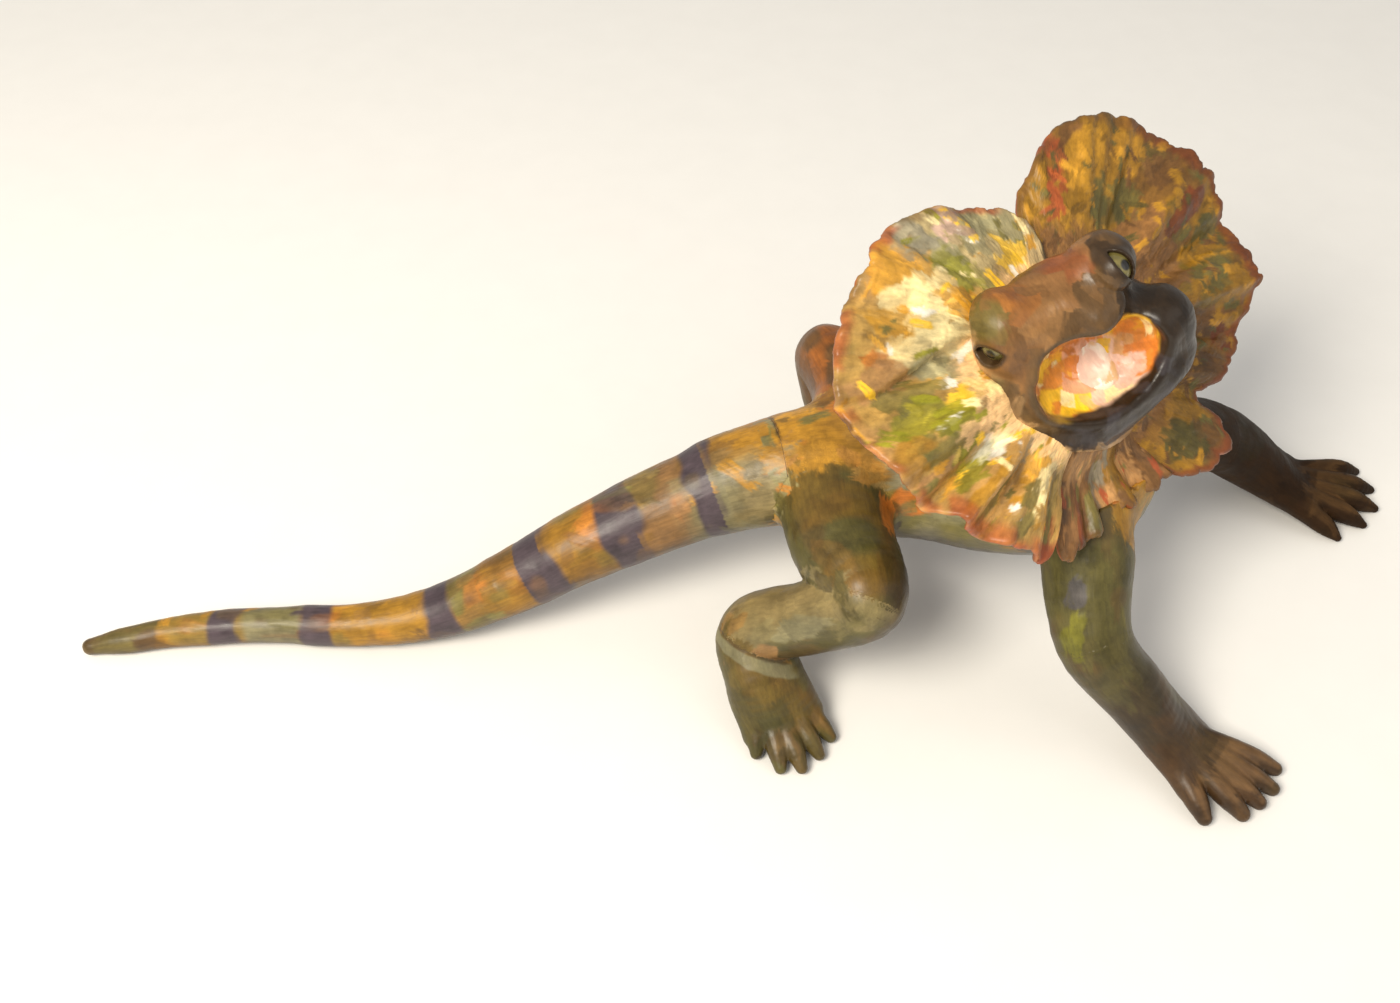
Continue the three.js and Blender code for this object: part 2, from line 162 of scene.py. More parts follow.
def facing(heading, pitch, roll):
    """Rows: the way a thing faces, its left and its up."""
    ahead = np.array([
        math.cos(heading) * math.cos(pitch), math.sin(heading) * math.cos(pitch), math.sin(pitch)])
    level = np.array([-math.sin(heading), math.cos(heading), 0])
    left = level * math.cos(roll) + np.cross(ahead, level) * math.sin(roll)
    return np.array([ahead, left, np.cross(ahead, left)])


HEAD_FRAME = facing(HEAD_HEADING, 0, HEAD_ROLL)
FRILL_FRAME = facing(FRILL_HEADING, FRILL_PITCH, 0)

# ---------------------------------------------------------------- paints


def paint(code):
    """A paint's colour as light adds up, from its usual screen code."""
    screen = np.array([int(code[i:i + 2], 16) for i in (0, 2, 4)]) / 255
    return np.where(screen <= 0.04045, screen / 12.92, ((screen + 0.055) / 1.055) ** 2.4)


WHITE = paint("f4efe0")
CREAM = paint("f3dfa4")
PINK = paint("e8c2b0")
PEACH = paint("dcb27e")
TAN = paint("b98a55")
YELLOW = paint("f2c22c")
GOLD = paint("cf962c")
MUSTARD = paint("a87a20")
OCHRE = paint("b5853c")
ORANGE = paint("cf7a2e")
RUST = paint("b8582e")
BRICK = paint("7c3c1c")
MOSS = paint("94901f")
OLIVE = paint("756c36")
SAGE = paint("a09a74")
GREY = paint("8d8774")
SLATE = paint("5f5a62")
PLUM = paint("453a40")
BROWN = paint("6c4a26")
BARK = paint("57442a")
UMBER = paint("3d2c1a")

# ---------------------------------------------------------------- noise, curves and solid shapes


def noise(points, size, seed):
    """Smooth random bumps about size across, from -1 to 1."""
    place = np.asarray(points, np.float64) / size + 31.7 * seed
    cell = np.floor(place).astype(np.int64)
    part = place - cell
    part = part * part * (3 - 2 * part)
    total = np.zeros(len(place))
    for corner in itertools.product((0, 1), repeat=place.shape[1]):
        key = np.full(len(place), 1013 * seed + 7, np.int64)
        weight = np.ones(len(place))
        for axis, step in enumerate(corner):
            key = (key ^ (cell[:, axis] + step)) * 0x9E3779B1 & 0x7FFFFFFF
            key = (key ^ (key >> 13)) * 0x85EBCA6B & 0x7FFFFFFF
            weight *= part[:, axis] if step else 1 - part[:, axis]
        total += weight * (key % 65536)
    return total / 32768 - 1


def smooth(value, low, high):
    """0 on the far side of low, 1 past high and an S-curve between them."""
    t = np.clip((value - low) / (high - low), 0, 1)
    return t * t * (3 - 2 * t)


def join(a, b, softness):
    """The union of two solids, with a fillet."""
    share = np.clip(0.5 + 0.5 * (b - a) / softness, 0, 1)
    return b + (a - b) * share - softness * share * (1 - share)


def both(a, b, softness=0.6):
    """What two solids share, with a rounded edge."""
    return -join(-a, -b, softness)


def unit(vector):
    return vector / np.linalg.norm(vector)


def ball(points, centre, radii):
    """Distance to a ball stretched along the axes."""
    radii = np.asarray(radii, float)
    q = (points - np.asarray(centre, float)) / radii
    k = np.linalg.norm(q, axis=1)
    return k * (k - 1) / np.maximum(np.linalg.norm(q / radii, axis=1), 1e-6)


def spline(stations, steps):
    """Points of a smooth curve through the stations, in every column of them."""
    rows = np.asarray(stations, float)
    padded = np.vstack([2 * rows[0] - rows[1], rows, 2 * rows[-1] - rows[-2]])
    t = np.linspace(0, 1, steps, endpoint=False)[:, None]
    spans = [
        0.5 * (2 * b + (c - a) * t + (2 * a - 5 * b + 4 * c - d) * t ** 2 + (3 * b - a - 3 * c + d) * t ** 3)
        for a, b, c, d in zip(padded, padded[1:], padded[2:], padded[3:])
    ]
    return np.vstack([*spans, rows[-1:]])


class Bar:
    """A round-ended bar of oval section along a smooth spine."""

    def __init__(self, stations, across, steps=6):
        stations = np.asarray(stations, float)
        across = np.asarray(across, float)
        if across.ndim == 1:
            across = np.tile(across, (len(stations), 1))
        rows = spline(np.hstack([stations, across]), steps)
        self.at = rows[:, :3]
        self.size = np.maximum(rows[:, 3:5], 0.5)
        step = np.diff(self.at, axis=0)
        self.tangent = step / np.linalg.norm(step, axis=1)[:, None]
        side = rows[:-1, 5:8]
        side = side - self.tangent * np.sum(side * self.tangent, axis=1)[:, None]
        self.side = side / np.linalg.norm(side, axis=1)[:, None]
        self.rise = np.cross(self.tangent, self.side)
        self.run = np.concatenate([[0], np.cumsum(np.linalg.norm(step, axis=1))])

    def span(self, points, i):
        """Distance from one short span of the bar, how far along the bar, and the place across it."""
        step = self.at[i + 1] - self.at[i]
        away = points - self.at[i]
        share = np.clip(away @ step / (step @ step), 0, 1)
        size = self.size[i] + share[:, None] * (self.size[i + 1] - self.size[i])
        away = away - share[:, None] * step
        local = np.stack([away @ self.side[i], away @ self.rise[i], away @ self.tangent[i]], 1)
        distance = ball(local, [0, 0, 0], np.column_stack([size, size.min(axis=1)]))
        return distance, self.run[i] + share * (self.run[i + 1] - self.run[i]), local

    def nearest(self, points, far):
        """Distance, place along the bar, place across it and span number, all rough beyond far."""
        best = np.full(len(points), np.inf)
        along = np.zeros(len(points))
        across = np.zeros((len(points), 2))
        number = np.zeros(len(points), int)
        for i in range(len(self.side)):
            middle = (self.at[i] + self.at[i + 1]) / 2
            reach = np.linalg.norm(self.at[i + 1] - middle) + self.size[i:i + 2].max()
            away = points - middle
            least = np.sqrt(np.einsum("ij,ij->i", away, away)) - reach
            distant = (least > far) & (least < best)
            best[distant] = least[distant]
            near = np.flatnonzero((least <= far) & (least < best))
            distance, run, local = self.span(points[near], i)
            nearer = distance < best[near]
            chosen = near[nearer]
            best[chosen] = distance[nearer]
            along[chosen] = run[nearer]
            across[chosen] = local[nearer, :2]
            number[chosen] = i
        return best, along, across, number

    def distance(self, points):
        return self.nearest(points, FAR)[0]

    def flow(self, points):
        """How far along the bar each point is, its place across it, and the bar's direction there."""
        _, along, across, number = self.nearest(points, np.inf)
        return along, across, self.tangent[number]


def beyond(points, at, along):
    """Distance to the far side of a plane: below zero past it, in the direction along."""
    return (np.asarray(at) - points) @ np.asarray(along)


def skin(low, high, voxel, field):
    """The surface where field is zero, as points and three- or four-sided faces."""
    counts = [math.ceil((h - l) / (voxel * BLOCK)) for l, h in zip(low, high)]
    index = np.indices(counts).reshape(3, -1).T
    middles = low + (index * BLOCK + (BLOCK - 1) / 2) * voxel
    coarse = field(middles)
    near = np.abs(coarse) < voxel * BLOCK * 1.7  # about the diagonal of a block
    values = coarse.reshape(counts)
    for axis in range(3):
        values = values.repeat(BLOCK, axis)
    inner = np.indices((BLOCK,) * 3).reshape(3, -1).T
    fine = (index[near][:, None, :] * BLOCK + inner[None]).reshape(-1, 3)
    values[tuple(fine.T)] = field(low + fine * voxel)
    grid = openvdb.FloatGrid()
    grid.copyFromArray(np.ascontiguousarray(values, np.float32))
    points, triangles, quads = grid.convertToPolygons()
    return low + points * voxel, [*triangles.tolist(), *quads.tolist()]


# ---------------------------------------------------------------- painting


class Canvas:
    """A carved surface to paint: its points, normals and grain, and the paint's colour and thickness."""

    def __init__(self, pieces):
        self.points = np.vstack([piece["points"] for piece in pieces])
        self.normals = np.vstack([mesh_normals(piece["mesh"]) for piece in pieces])
        self.grain = np.vstack([piece["grain"] for piece in pieces])
        counts = [len(piece["points"]) for piece in pieces]
        self.owner = np.repeat([piece["name"] for piece in pieces], counts)
        self.colour = np.zeros((len(self.points), 3))
        self.lift = np.zeros(len(self.points))
        self.order = np.argsort(self.points[:, 0])
        self.sorted_x = self.points[self.order, 0]

    def near(self, centre, reach):
        """Which points are within reach of a centre, and how far off they are."""
        start, end = np.searchsorted(self.sorted_x, [centre[0] - reach, centre[0] + reach])
        found = self.order[start:end]
        away = self.points[found] - centre
        close = (np.abs(away[:, 1]) < reach) & (np.abs(away[:, 2]) < reach)
        return found[close], away[close]

    def noise(self, size, seed):
        return noise(self.points, size, seed)

    def wash(self, colour, mask=1.0):
        mask = np.clip(np.broadcast_to(mask, len(self.points)), 0, 1)[:, None]
        self.colour += (colour - self.colour) * mask

    def blot(self, colour, size, seed, low, high, mask=1.0):
        """A wash in random blots about size across, fading in where the noise goes from low to high."""
        self.wash(colour, smooth(self.noise(size, seed), low, high) * mask)

    def dab(self, centre, length, width, colour, seed, strength=0.95, reach=30.0):
        """One patch of paint round a point, with a ragged edge, longer along the grain."""
        near, away = self.near(np.asarray(centre, float), 1.5 * max(length, width))
        if not len(near):
            return
        heart = near[np.argmin(np.einsum("ij,ij->i", away, away))]
        forward = self.grain[heart]
        sideways = np.cross(self.normals[heart], forward)
        ragged = 0.3 * noise(self.points[near], 5, seed) + 0.16 * noise(self.points[near], 2, seed + 1)
        spread = np.hypot(away @ forward / length, away @ sideways / width) + ragged
        facing_it = self.normals[near] @ self.normals[heart] > 0.1
        mask = strength * smooth(spread, 1.08, 0.86) * facing_it
        mask = mask * (np.abs(away @ self.normals[heart]) < reach)
        self.colour[near] += (colour - self.colour[near]) * mask[:, None]

    def brushwork(self, chance, count, length, width, seed, vary, lift, turn=0.25, accents=(), share=0.3):
        """Many strokes, each in the colour already there, a little lighter or darker, or in an accent."""
        rng = np.random.default_rng(seed)
        chance = np.broadcast_to(chance, len(self.points))
        tries = rng.integers(len(self.points), size=count * 4)
        tries = tries[rng.random(count * 4) < chance[tries]][:count]
        layout = self.colour.copy()
        for n, heart in enumerate(tries):
            long = rng.uniform(*length)
            wide = rng.uniform(*width)
            angle = rng.normal(0, turn)
            phase = rng.uniform(0, 50)
            value = math.exp(rng.normal(0, vary))
            colour = layout[heart] * value
            if len(accents) and rng.random() < share:
                colour = accents[rng.integers(len(accents))] * value ** 0.5
            normal = self.normals[heart]
            forward = self.grain[heart]
            sideways = np.cross(normal, forward)
            forward, sideways = (
                forward * math.cos(angle) + sideways * math.sin(angle),
                sideways * math.cos(angle) - forward * math.sin(angle),
            )
            near, away = self.near(self.points[heart], long * 1.1)
            x = away @ forward / long
            y = away @ sideways / wide
            bristle = np.sin(y * wide * 3.1 + phase) * 0.5 + np.sin(y * wide * 5.3 + 2 * phase) * 0.3
            ends = np.abs(x) + 0.22 * bristle
            mask = smooth(ends, 1.0, 0.7) * smooth(np.abs(y) + 0.1 * np.sin(x * 5 + phase), 1.0, 0.72)
            mask *= (np.abs(away @ normal) < 3.0) * (self.normals[near] @ normal > 0.3)
            mask *= np.clip(0.9 - 0.35 * (bristle < -0.35) * (x > -0.2), 0, 1)
            self.colour[near] += (colour - self.colour[near]) * mask[:, None]
            ridge = lift * value * mask * (0.75 + 0.3 * bristle)
            self.lift[near] = np.maximum(self.lift[near] * (1 - 0.5 * mask), ridge)


# ---------------------------------------------------------------- materials


def add_node(tree, kind, **settings):
    """A node with its attributes, or else its inputs, set by name."""
    node = tree.nodes.new(kind)
    for name, value in settings.items():
        if hasattr(node, name):
            setattr(node, name, value)
        else:
            node.inputs[name.replace("_", " ").title()].default_value = value
    return node


def new_material(name):
    """A material, its node tree and its main shader."""
    material = bpy.data.materials.new(name)
    material.use_nodes = True
    tree = material.node_tree
    return material, tree, tree.nodes["Principled BSDF"]


def texture(tree, kind, place, **settings):
    """The pattern of a texture node that reads its place from a socket."""
    node = add_node(tree, kind, **settings)
    tree.links.new(place, node.inputs["Vector"])
    return node.outputs["Fac"]


def ramp(tree, factor, *stops):
    """A colour ramp through (place, colour) stops."""
    node = tree.nodes.new("ShaderNodeValToRGB")
    elements = node.color_ramp.elements
    for place, _ in stops[1:-1]:
        elements.new(place)
    for stop, (place, colour) in zip(elements, stops):
        stop.position = place
        stop.color = (*colour, 1)
    tree.links.new(factor, node.inputs["Fac"])
    return node.outputs["Color"]


def grey(level):
    return (level, level, level)


def painted(name, streak=0.16, mottle=0.3, relief=0.3, gloss=0.42, coat=0.18, shine=0.3):
    """Hand paint under varnish: the piece's own colours, broken up by bristle streaks and blotches."""
    material, tree, shader = new_material(name)
    link = tree.links.new
    colour = add_node(tree, "ShaderNodeAttribute", attribute_name="paint").outputs["Color"]
    grain = add_node(tree, "ShaderNodeAttribute", attribute_name="grain").outputs["Vector"]
    place = tree.nodes.new("ShaderNodeTexCoord").outputs["Object"]
    bristles = texture(tree, "ShaderNodeTexNoise", grain, scale=900.0, detail=3.0, roughness=0.6)
    blotches = texture(tree, "ShaderNodeTexNoise", place, scale=140.0, detail=4.0, roughness=0.55)
    specks = texture(tree, "ShaderNodeTexNoise", place, scale=1100.0, detail=2.0, roughness=0.5)

    for pattern, amount in ((bristles, streak), (blotches, mottle)):
        shade = ramp(tree, pattern, (0.3, grey(1 - amount)), (0.5, grey(1.0)), (0.72, grey(1 + amount)))
        mix = add_node(tree, "ShaderNodeMix", data_type="RGBA", blend_type="MULTIPLY", factor=1.0)
        link(colour, mix.inputs["A"])
        link(shade, mix.inputs["B"])
        colour = mix.outputs["Result"]
    link(colour, shader.inputs["Base Color"])

    dull, bright = gloss + 0.14, gloss - 0.08
    rough = add_node(tree, "ShaderNodeMapRange", from_min=0.3, from_max=0.7, to_min=bright, to_max=dull)
    link(blotches, rough.inputs["Value"])
    link(rough.outputs["Result"], shader.inputs["Roughness"])

    normal = None
    for height, strength, depth in ((bristles, relief, 0.35 * MM), (specks, relief * 0.5, 0.15 * MM)):
        bump = add_node(tree, "ShaderNodeBump", strength=strength, distance=depth)
        link(height, bump.inputs["Height"])
        if normal:
            link(normal, bump.inputs["Normal"])
        normal = bump.outputs["Normal"]
    link(normal, shader.inputs["Normal"])
    shader.inputs["Specular IOR Level"].default_value = shine
    shader.inputs["Coat Weight"].default_value = coat
    shader.inputs["Coat Roughness"].default_value = 0.32
    return material


def two_toned(name, kind, dark, light, rough, metal=0.0, place="Object", **settings):
    """A bare material in two close tones, in the pattern of one texture."""
    material, tree, shader = new_material(name)
    coordinates = tree.nodes.new("ShaderNodeTexCoord")
    pattern = texture(tree, kind, coordinates.outputs[place], **settings)
    tree.links.new(ramp(tree, pattern, (0, dark), (1, light)), shader.inputs["Base Color"])
    shader.inputs["Roughness"].default_value = rough
    shader.inputs["Metallic"].default_value = metal
    return material


PAINT_LOOKS = {
    "body_paint": {"streak": 0.18, "relief": 0.35},
    "tail_paint": {"streak": 0.2, "relief": 0.35},
    "limb_paint": {},
    # The left arm's material: its dark colours are painted shade, and it is duller so that it takes little
    # sheen.
    "shaded_paint": {"mottle": 0.25, "gloss": 0.6, "coat": 0.03, "shine": 0.1},  # the left arm's
    "head_paint": {"streak": 0.14, "mottle": 0.2, "relief": 0.25, "gloss": 0.36, "coat": 0.2},
    "frill_paint": {"relief": 0.5},
    "tongue_paint": {"streak": 0.08, "mottle": 0.1, "relief": 0.2, "gloss": 0.22, "coat": 0.8},
    "eye_paint": {"streak": 0.06, "mottle": 0.1, "relief": 0.05, "gloss": 0.15, "coat": 1.0},
}
PAINTS = {name: painted(name, **look) for name, look in PAINT_LOOKS.items()}


def dowel_wood():
    """Bare hardwood with fine straight grain."""
    return two_toned("dowel_wood", "ShaderNodeTexWave", paint("a8814f"), paint("d6b685"), 0.7,
                     scale=260.0, distortion=4.0, detail=3.0)


def brad_steel():
    """Dull steel with fine wear."""
    return two_toned("brad_steel", "ShaderNodeTexNoise", paint("5f5a52"), paint("a39d92"), 0.45, metal=1.0,
                     scale=1800.0, detail=3.0)


# ---------------------------------------------------------------- putting pieces in the frame

tail_dowel = [np.array(corner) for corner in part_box("tail_peg")]
BENCH_SHIFT = (tail_dowel[0] + tail_dowel[1]) / 2 * 1000 - TAIL_SEAM


def mesh_normals(mesh):
    normals = np.empty(len(mesh.vertices) * 3, np.float32)
    mesh.vertex_normals.foreach_get("vector", normals)
    return normals.reshape(-1, 3).astype(float)


def set_points(mesh, points):
    mesh.vertices.foreach_set("co", ((points + BENCH_SHIFT) * MM).astype(np.float32).ravel())
    mesh.update()


def carved(name, points, faces, grain_of, slot, look=None, body="root"):
    """Makes one unpainted piece, named after the imported part that it takes the place of, and hides that
    part.
    """
    mesh = bpy.data.meshes.new(name)
    mesh.from_pydata(points.tolist(), [], faces)
    set_points(mesh, points)
    mesh.polygons.foreach_set("use_smooth", np.ones(len(mesh.polygons), bool))
    mesh.materials.append(PAINTS[look or slot])
    grain, grain_at = grain_of(points)
    grains = mesh.attributes.new("grain", "FLOAT_VECTOR", "POINT")
    grains.data.foreach_set("vector", (grain_at * MM).astype(np.float32).ravel())
    piece = bpy.data.objects.new(name, mesh)
    bpy.context.scene.collection.objects.link(piece)
    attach(piece, body)
    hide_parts(name)
    return {"name": name, "mesh": mesh, "points": points, "grain": grain}


def paint_over(pieces, paint_it):
    """Paints pieces together, once they are glued up, so that strokes run on over their joints."""
    canvas = Canvas(pieces)
    paint_it(canvas)
    for piece in pieces:
        mine = canvas.owner == piece["name"]
        set_points(piece["mesh"], piece["points"] + canvas.normals[mine] * canvas.lift[mine, None])
        rgba = np.column_stack([np.clip(canvas.colour[mine], 0, 1), np.ones(mine.sum())])
        colours = piece["mesh"].attributes.new("paint", "FLOAT_COLOR", "POINT")
        colours.data.foreach_set("color", rgba.astype(np.float32).ravel())


def saw(piece, at, along, bare):
    """Cuts off whatever lies past a plane and leaves a crisp bare face there."""
    mesh = piece["mesh"]
    mesh.materials.append(bare)
    work = bmesh.new()
    work.from_mesh(mesh)
    everything = [*work.verts, *work.edges, *work.faces]
    place = (at + BENCH_SHIFT) * MM
    cut = bmesh.ops.bisect_plane(work, geom=everything, plane_co=place, plane_no=along, clear_outer=True)
    edges = [item for item in cut["geom_cut"] if isinstance(item, bmesh.types.BMEdge)]
    faces = bmesh.ops.holes_fill(work, edges=edges)["faces"]
    for edge in edges:
        edge.smooth = False
    for face in faces:
        face.smooth = False
        face.material_index = 1
    bmesh.ops.triangulate(work, faces=faces)
    work.to_mesh(mesh)
    work.free()


def bar_grain(*bars):
    """The grain of a piece carved round one or more bars: along whichever is nearest."""
    def grain_of(points):
        best = np.full(len(points), np.inf)
        grain = np.zeros((len(points), 3))
        place = np.zeros((len(points), 3))
        for bar in bars:
            distance = bar.distance(points)
            along, across, direction = bar.flow(points)
            nearer = distance < best
            best[nearer] = distance[nearer]
            grain[nearer] = direction[nearer]
            place[nearer] = np.column_stack([across, along / 7])[nearer]
        return grain, place
    return grain_of


# ---------------------------------------------------------------- body, legs and tail: the carved shapes


def leg_bars(leg):
    spine = leg["spine"]
    joints = [0, *leg["joints"], len(spine) - 1]
    across = np.zeros((len(spine), 3))
    for start, end, side in zip(joints, joints[1:], leg["across"]):
        across[start:end + 1] += side
    return Bar(spine, across)


# Back along a finger or toe: share of the way to the wrist, height, thickness as a share of its radius.
DIGIT_SHAPE = [[0.7, 12.0, 0.8], [0.42, 8.4, 0.95], [0.2, 5.6, 0.9]]


def digit_bars(leg):
    """Fingers or toes: each runs from its tip, over the knuckle, back into the wrist as a ridge."""
    wrist = np.array(leg["wrist"], float)
    tip_radius = leg["tip_radius"]
    bars = []
    for tip in leg["tips"]:
        reach = wrist[:2] - tip
        stations = []
        for share, height, thickness in DIGIT_SHAPE:
            radius = leg["digit_radius"] * thickness
            stations.append([*(tip + reach * share), height, radius, radius])
        stations.append([*(tip + reach * 0.03), tip_radius + 0.5, tip_radius, tip_radius])
        bars.append(Bar(stations, [-reach[1], reach[0], 0], 4))
    return bars


trunk_bar = Bar(TRUNK, TRUNK_ACROSS)
neck_bar = Bar(NECK, TRUNK_ACROSS)
tail_bar = Bar(TAIL, TAIL_ACROSS)
LEG_BARS = {name: leg_bars(leg) for name, leg in LEGS.items()}
DIGIT_BARS = {name: digit_bars(leg) for name, leg in LEGS.items()}
COLLAR = FRILL_CENTRE - FRILL_FRAME[0] * (FRILL_THICKNESS / 2)


def knife(points):
    """The gentle unevenness that carving and sanding leave."""
    return 0.5 * noise(points, 14, 3) + 0.14 * noise(points, 5, 4)


def trunk_shape(points):
    return join(trunk_bar.distance(points), neck_bar.distance(points), NAPE)


def hide(points):
    """Body, neck and root of the tail before the legs are on."""
    return join(trunk_shape(points), tail_bar.distance(points), RUMP)


def torso_field(points):
    trunk = trunk_shape(points)
    shape = join(trunk, tail_bar.distance(points), RUMP)
    limits = [
        -beyond(points, TAIL_SEAM + TAIL_AXIS * SPARE, TAIL_AXIS),
        -beyond(points, COLLAR, FRILL_FRAME[0]),
    ]
    for name in LEGS:
        leg = LEG_BARS[name].distance(points)
        shape = join(shape, leg, FLESH)
        limits.append((trunk - leg) / 2 - GLUE)
    shape = shape + knife(points)
    from_dowel = (points - TAIL_SEAM) - np.outer((points - TAIL_SEAM) @ TAIL_AXIS, TAIL_AXIS)
    bore = np.linalg.norm(from_dowel, axis=1) - BORE_RADIUS
    bore = np.maximum(bore, beyond(points, TAIL_SEAM - TAIL_AXIS * BORE_DEPTH, TAIL_AXIS))
    return np.maximum.reduce([shape, -bore, in_front_of_frill(points), *limits])


def in_front_of_frill(points):
    """Above zero in front of the back faces of the frill panels, where the body mustn't reach."""
    height, radius, angle = to_frill(points)
    past = np.full(len(points), -5.0)
    for name, rim in FRILL_RIMS.items():
        rows = np.array(sorted(rim), float)
        for turn in (angle, angle + 2 * math.pi):
            degrees = np.degrees(turn)
            under = (degrees > rows[0, 0]) & (degrees < rows[-1, 0])
            under &= radius < np.interp(degrees, rows[:, 0], rows[:, 1]) - 4
            back = frill_height(name, turn[under], radius[under])
            past[under] = np.maximum(past[under], height[under] - back + PANEL_GAP)
    return past


def tail_field(points):
    shape = hide(points) + knife(points)
    shape = np.maximum(shape, beyond(points, TAIL_SEAM - TAIL_AXIS * SPARE, TAIL_AXIS))
    return both(shape, -points[:, 2])


def leg_seams(leg):
    """Where a leg's pieces meet: the place of each seam and the way the leg runs through it."""
    spine = np.array(leg["spine"], float)[:, :3]
    seams = []
    for joint in leg["joints"]:
        arriving = spine[joint] - spine[joint - 1]
        leaving = spine[joint + 1] - spine[joint]
        seams.append((spine[joint], unit(unit(arriving) + unit(leaving))))
    return seams


def leg_field(name, piece):
    seams = leg_seams(LEGS[name])

    def field(points):
        leg = LEG_BARS[name].distance(points)
        if piece == 0:
            trunk = trunk_shape(points)
            shape = join(trunk, tail_bar.distance(points), RUMP)
            shape = join(shape, leg, FLESH) + knife(points)
            if name.startswith("front"):
                shape = np.maximum(shape, in_front_of_frill(points))
            shape = np.maximum(shape, (leg - trunk) / 2 - GLUE)
            in_tail = beyond(points, TAIL_SEAM - TAIL_AXIS * SAWN, TAIL_AXIS)
            shape = np.maximum(shape, -np.maximum(in_tail, hide(points) - 0.8))
        else:
            shape = leg + knife(points)
            if piece == len(seams):
                digits = DIGIT_BARS[name][0].distance(points)
                for bar in DIGIT_BARS[name][1:]:
                    digits = join(digits, bar.distance(points), 1.2)
                shape = join(shape, digits + 0.4 * knife(points), 2.0)
            at, along = seams[piece - 1]
            shape = np.maximum(shape, beyond(points, at - along * GLUE, along))
            shape = both(shape, -points[:, 2])
        if piece < len(seams):
            at, along = seams[piece]
            shape = np.maximum(shape, -beyond(points, at + along * GLUE, along))
        return shape
    return field


def room(stations, margin=7.0):
    """The box that holds a run of stations."""
    rows = np.asarray(stations, float)
    reach = rows[:, 3:5].max(axis=1)[:, None] + margin
    return (rows[:, :3] - reach).min(axis=0), (rows[:, :3] + reach).max(axis=0)


# ---------------------------------------------------------------- body, legs and tail: the paint


def tail_run(points):
    """Distance from the tip of the tail, along it."""
    return tail_bar.run[-1] - tail_bar.flow(points)[0]


# Dark bands round the tail: distance from the tip, half width. Between them: from, to, colour.
TAIL_BANDS = [(52, 5), (85, 6), (132, 6), (175, 6.5), (206, 6), (238, 5)]
TAIL_STRETCHES = [
    (-9, 26, BARK * 0.85), (26, 47, GOLD * 0.52), (58, 80, SAGE * 0.5), (91, 126, MUSTARD * 0.85),
    (138, 152, OLIVE * 0.85), (152, 170, GOLD * 0.42), (182, 202, GOLD * 0.45), (212, 234, TAN * 0.46),
    (246, 300, GOLD * 0.7),
]
# Each leg's colour near the body and far out, and where along the leg one turns into the other.
LEG_PAINT = {
    "front_right": (OLIVE * 0.45, BARK * 0.34, 0.35, 0.75),
    # The left arm's dark colours are painted shade, growing darker towards the hand.
    "front_left": (BARK * 0.5, paint("2c1c0d"), 0.12, 0.34),
    "hind_right": (OLIVE * 0.42, OLIVE * 0.34, 0.35, 0.75),
    "hind_left": (BROWN * 0.8, OLIVE * 0.45, 0.35, 0.75),
}
# Single patches on the body and legs: place, half length, half width, colour, seed, strength.
BODY_DABS = [
    ([33, -24, 77], 6, 4, YELLOW * 0.7, 66, 0.95), ([70, -46, 68], 9, 5, ORANGE * 0.8, 67, 0.95),
    ([45, -78, 74], 13, 6, OCHRE * 0.5, 74, 0.35), ([12, -72, 38], 7, 5, OCHRE * 0.55, 75, 0.6),
    ([17, -80, 31], 6, 3, TAN * 0.6, 76, 0.7), ([33, -86, 52], 14, 3.5, SAGE * 0.7, 77, 0.5),
    ([158, -20, 60], 14, 12, BRICK * 0.45, 82, 0.9), ([122, -82, 66], 5, 3.5, SLATE * 0.7, 78, 0.7),
    ([121, -92, 52], 6, 4.5, MOSS * 0.5, 79, 0.7),
]


def paint_trunk(canvas):
    """Ochre back, grey and olive flanks, and a dark belly that is painted shade."""
    x, up = canvas.points[:, 0], canvas.normals[:, 2]
    canvas.wash(OLIVE * 0.95)
    canvas.blot(GREY * 0.9, 15, 61, 0.0, 0.5, 0.6)
    canvas.wash(GOLD * 0.7, smooth(up, 0.35, 0.8) * smooth(x, 75, 45))
    canvas.blot(BROWN * 0.9, 12, 62, -0.5, 0.1, smooth(up, 0.45, 0.85) * smooth(x, 38, 60))
    canvas.blot(ORANGE * 0.8, 9, 63, 0.2, 0.5, smooth(up, 0.2, 0.7) * 0.6)
    canvas.blot(SAGE, 11, 64, -0.3, 0.3, smooth(np.abs(up - 0.25), 0.3, 0.1) * 0.7)
    # Painted shade: slate and brown on the underside.
    canvas.wash(SLATE * 0.7, smooth(up, -0.1, -0.55) * 0.7)
    canvas.blot(BROWN * 0.8, 12, 65, -0.4, 0.3, smooth(up, -0.5, -0.9) * 0.8)


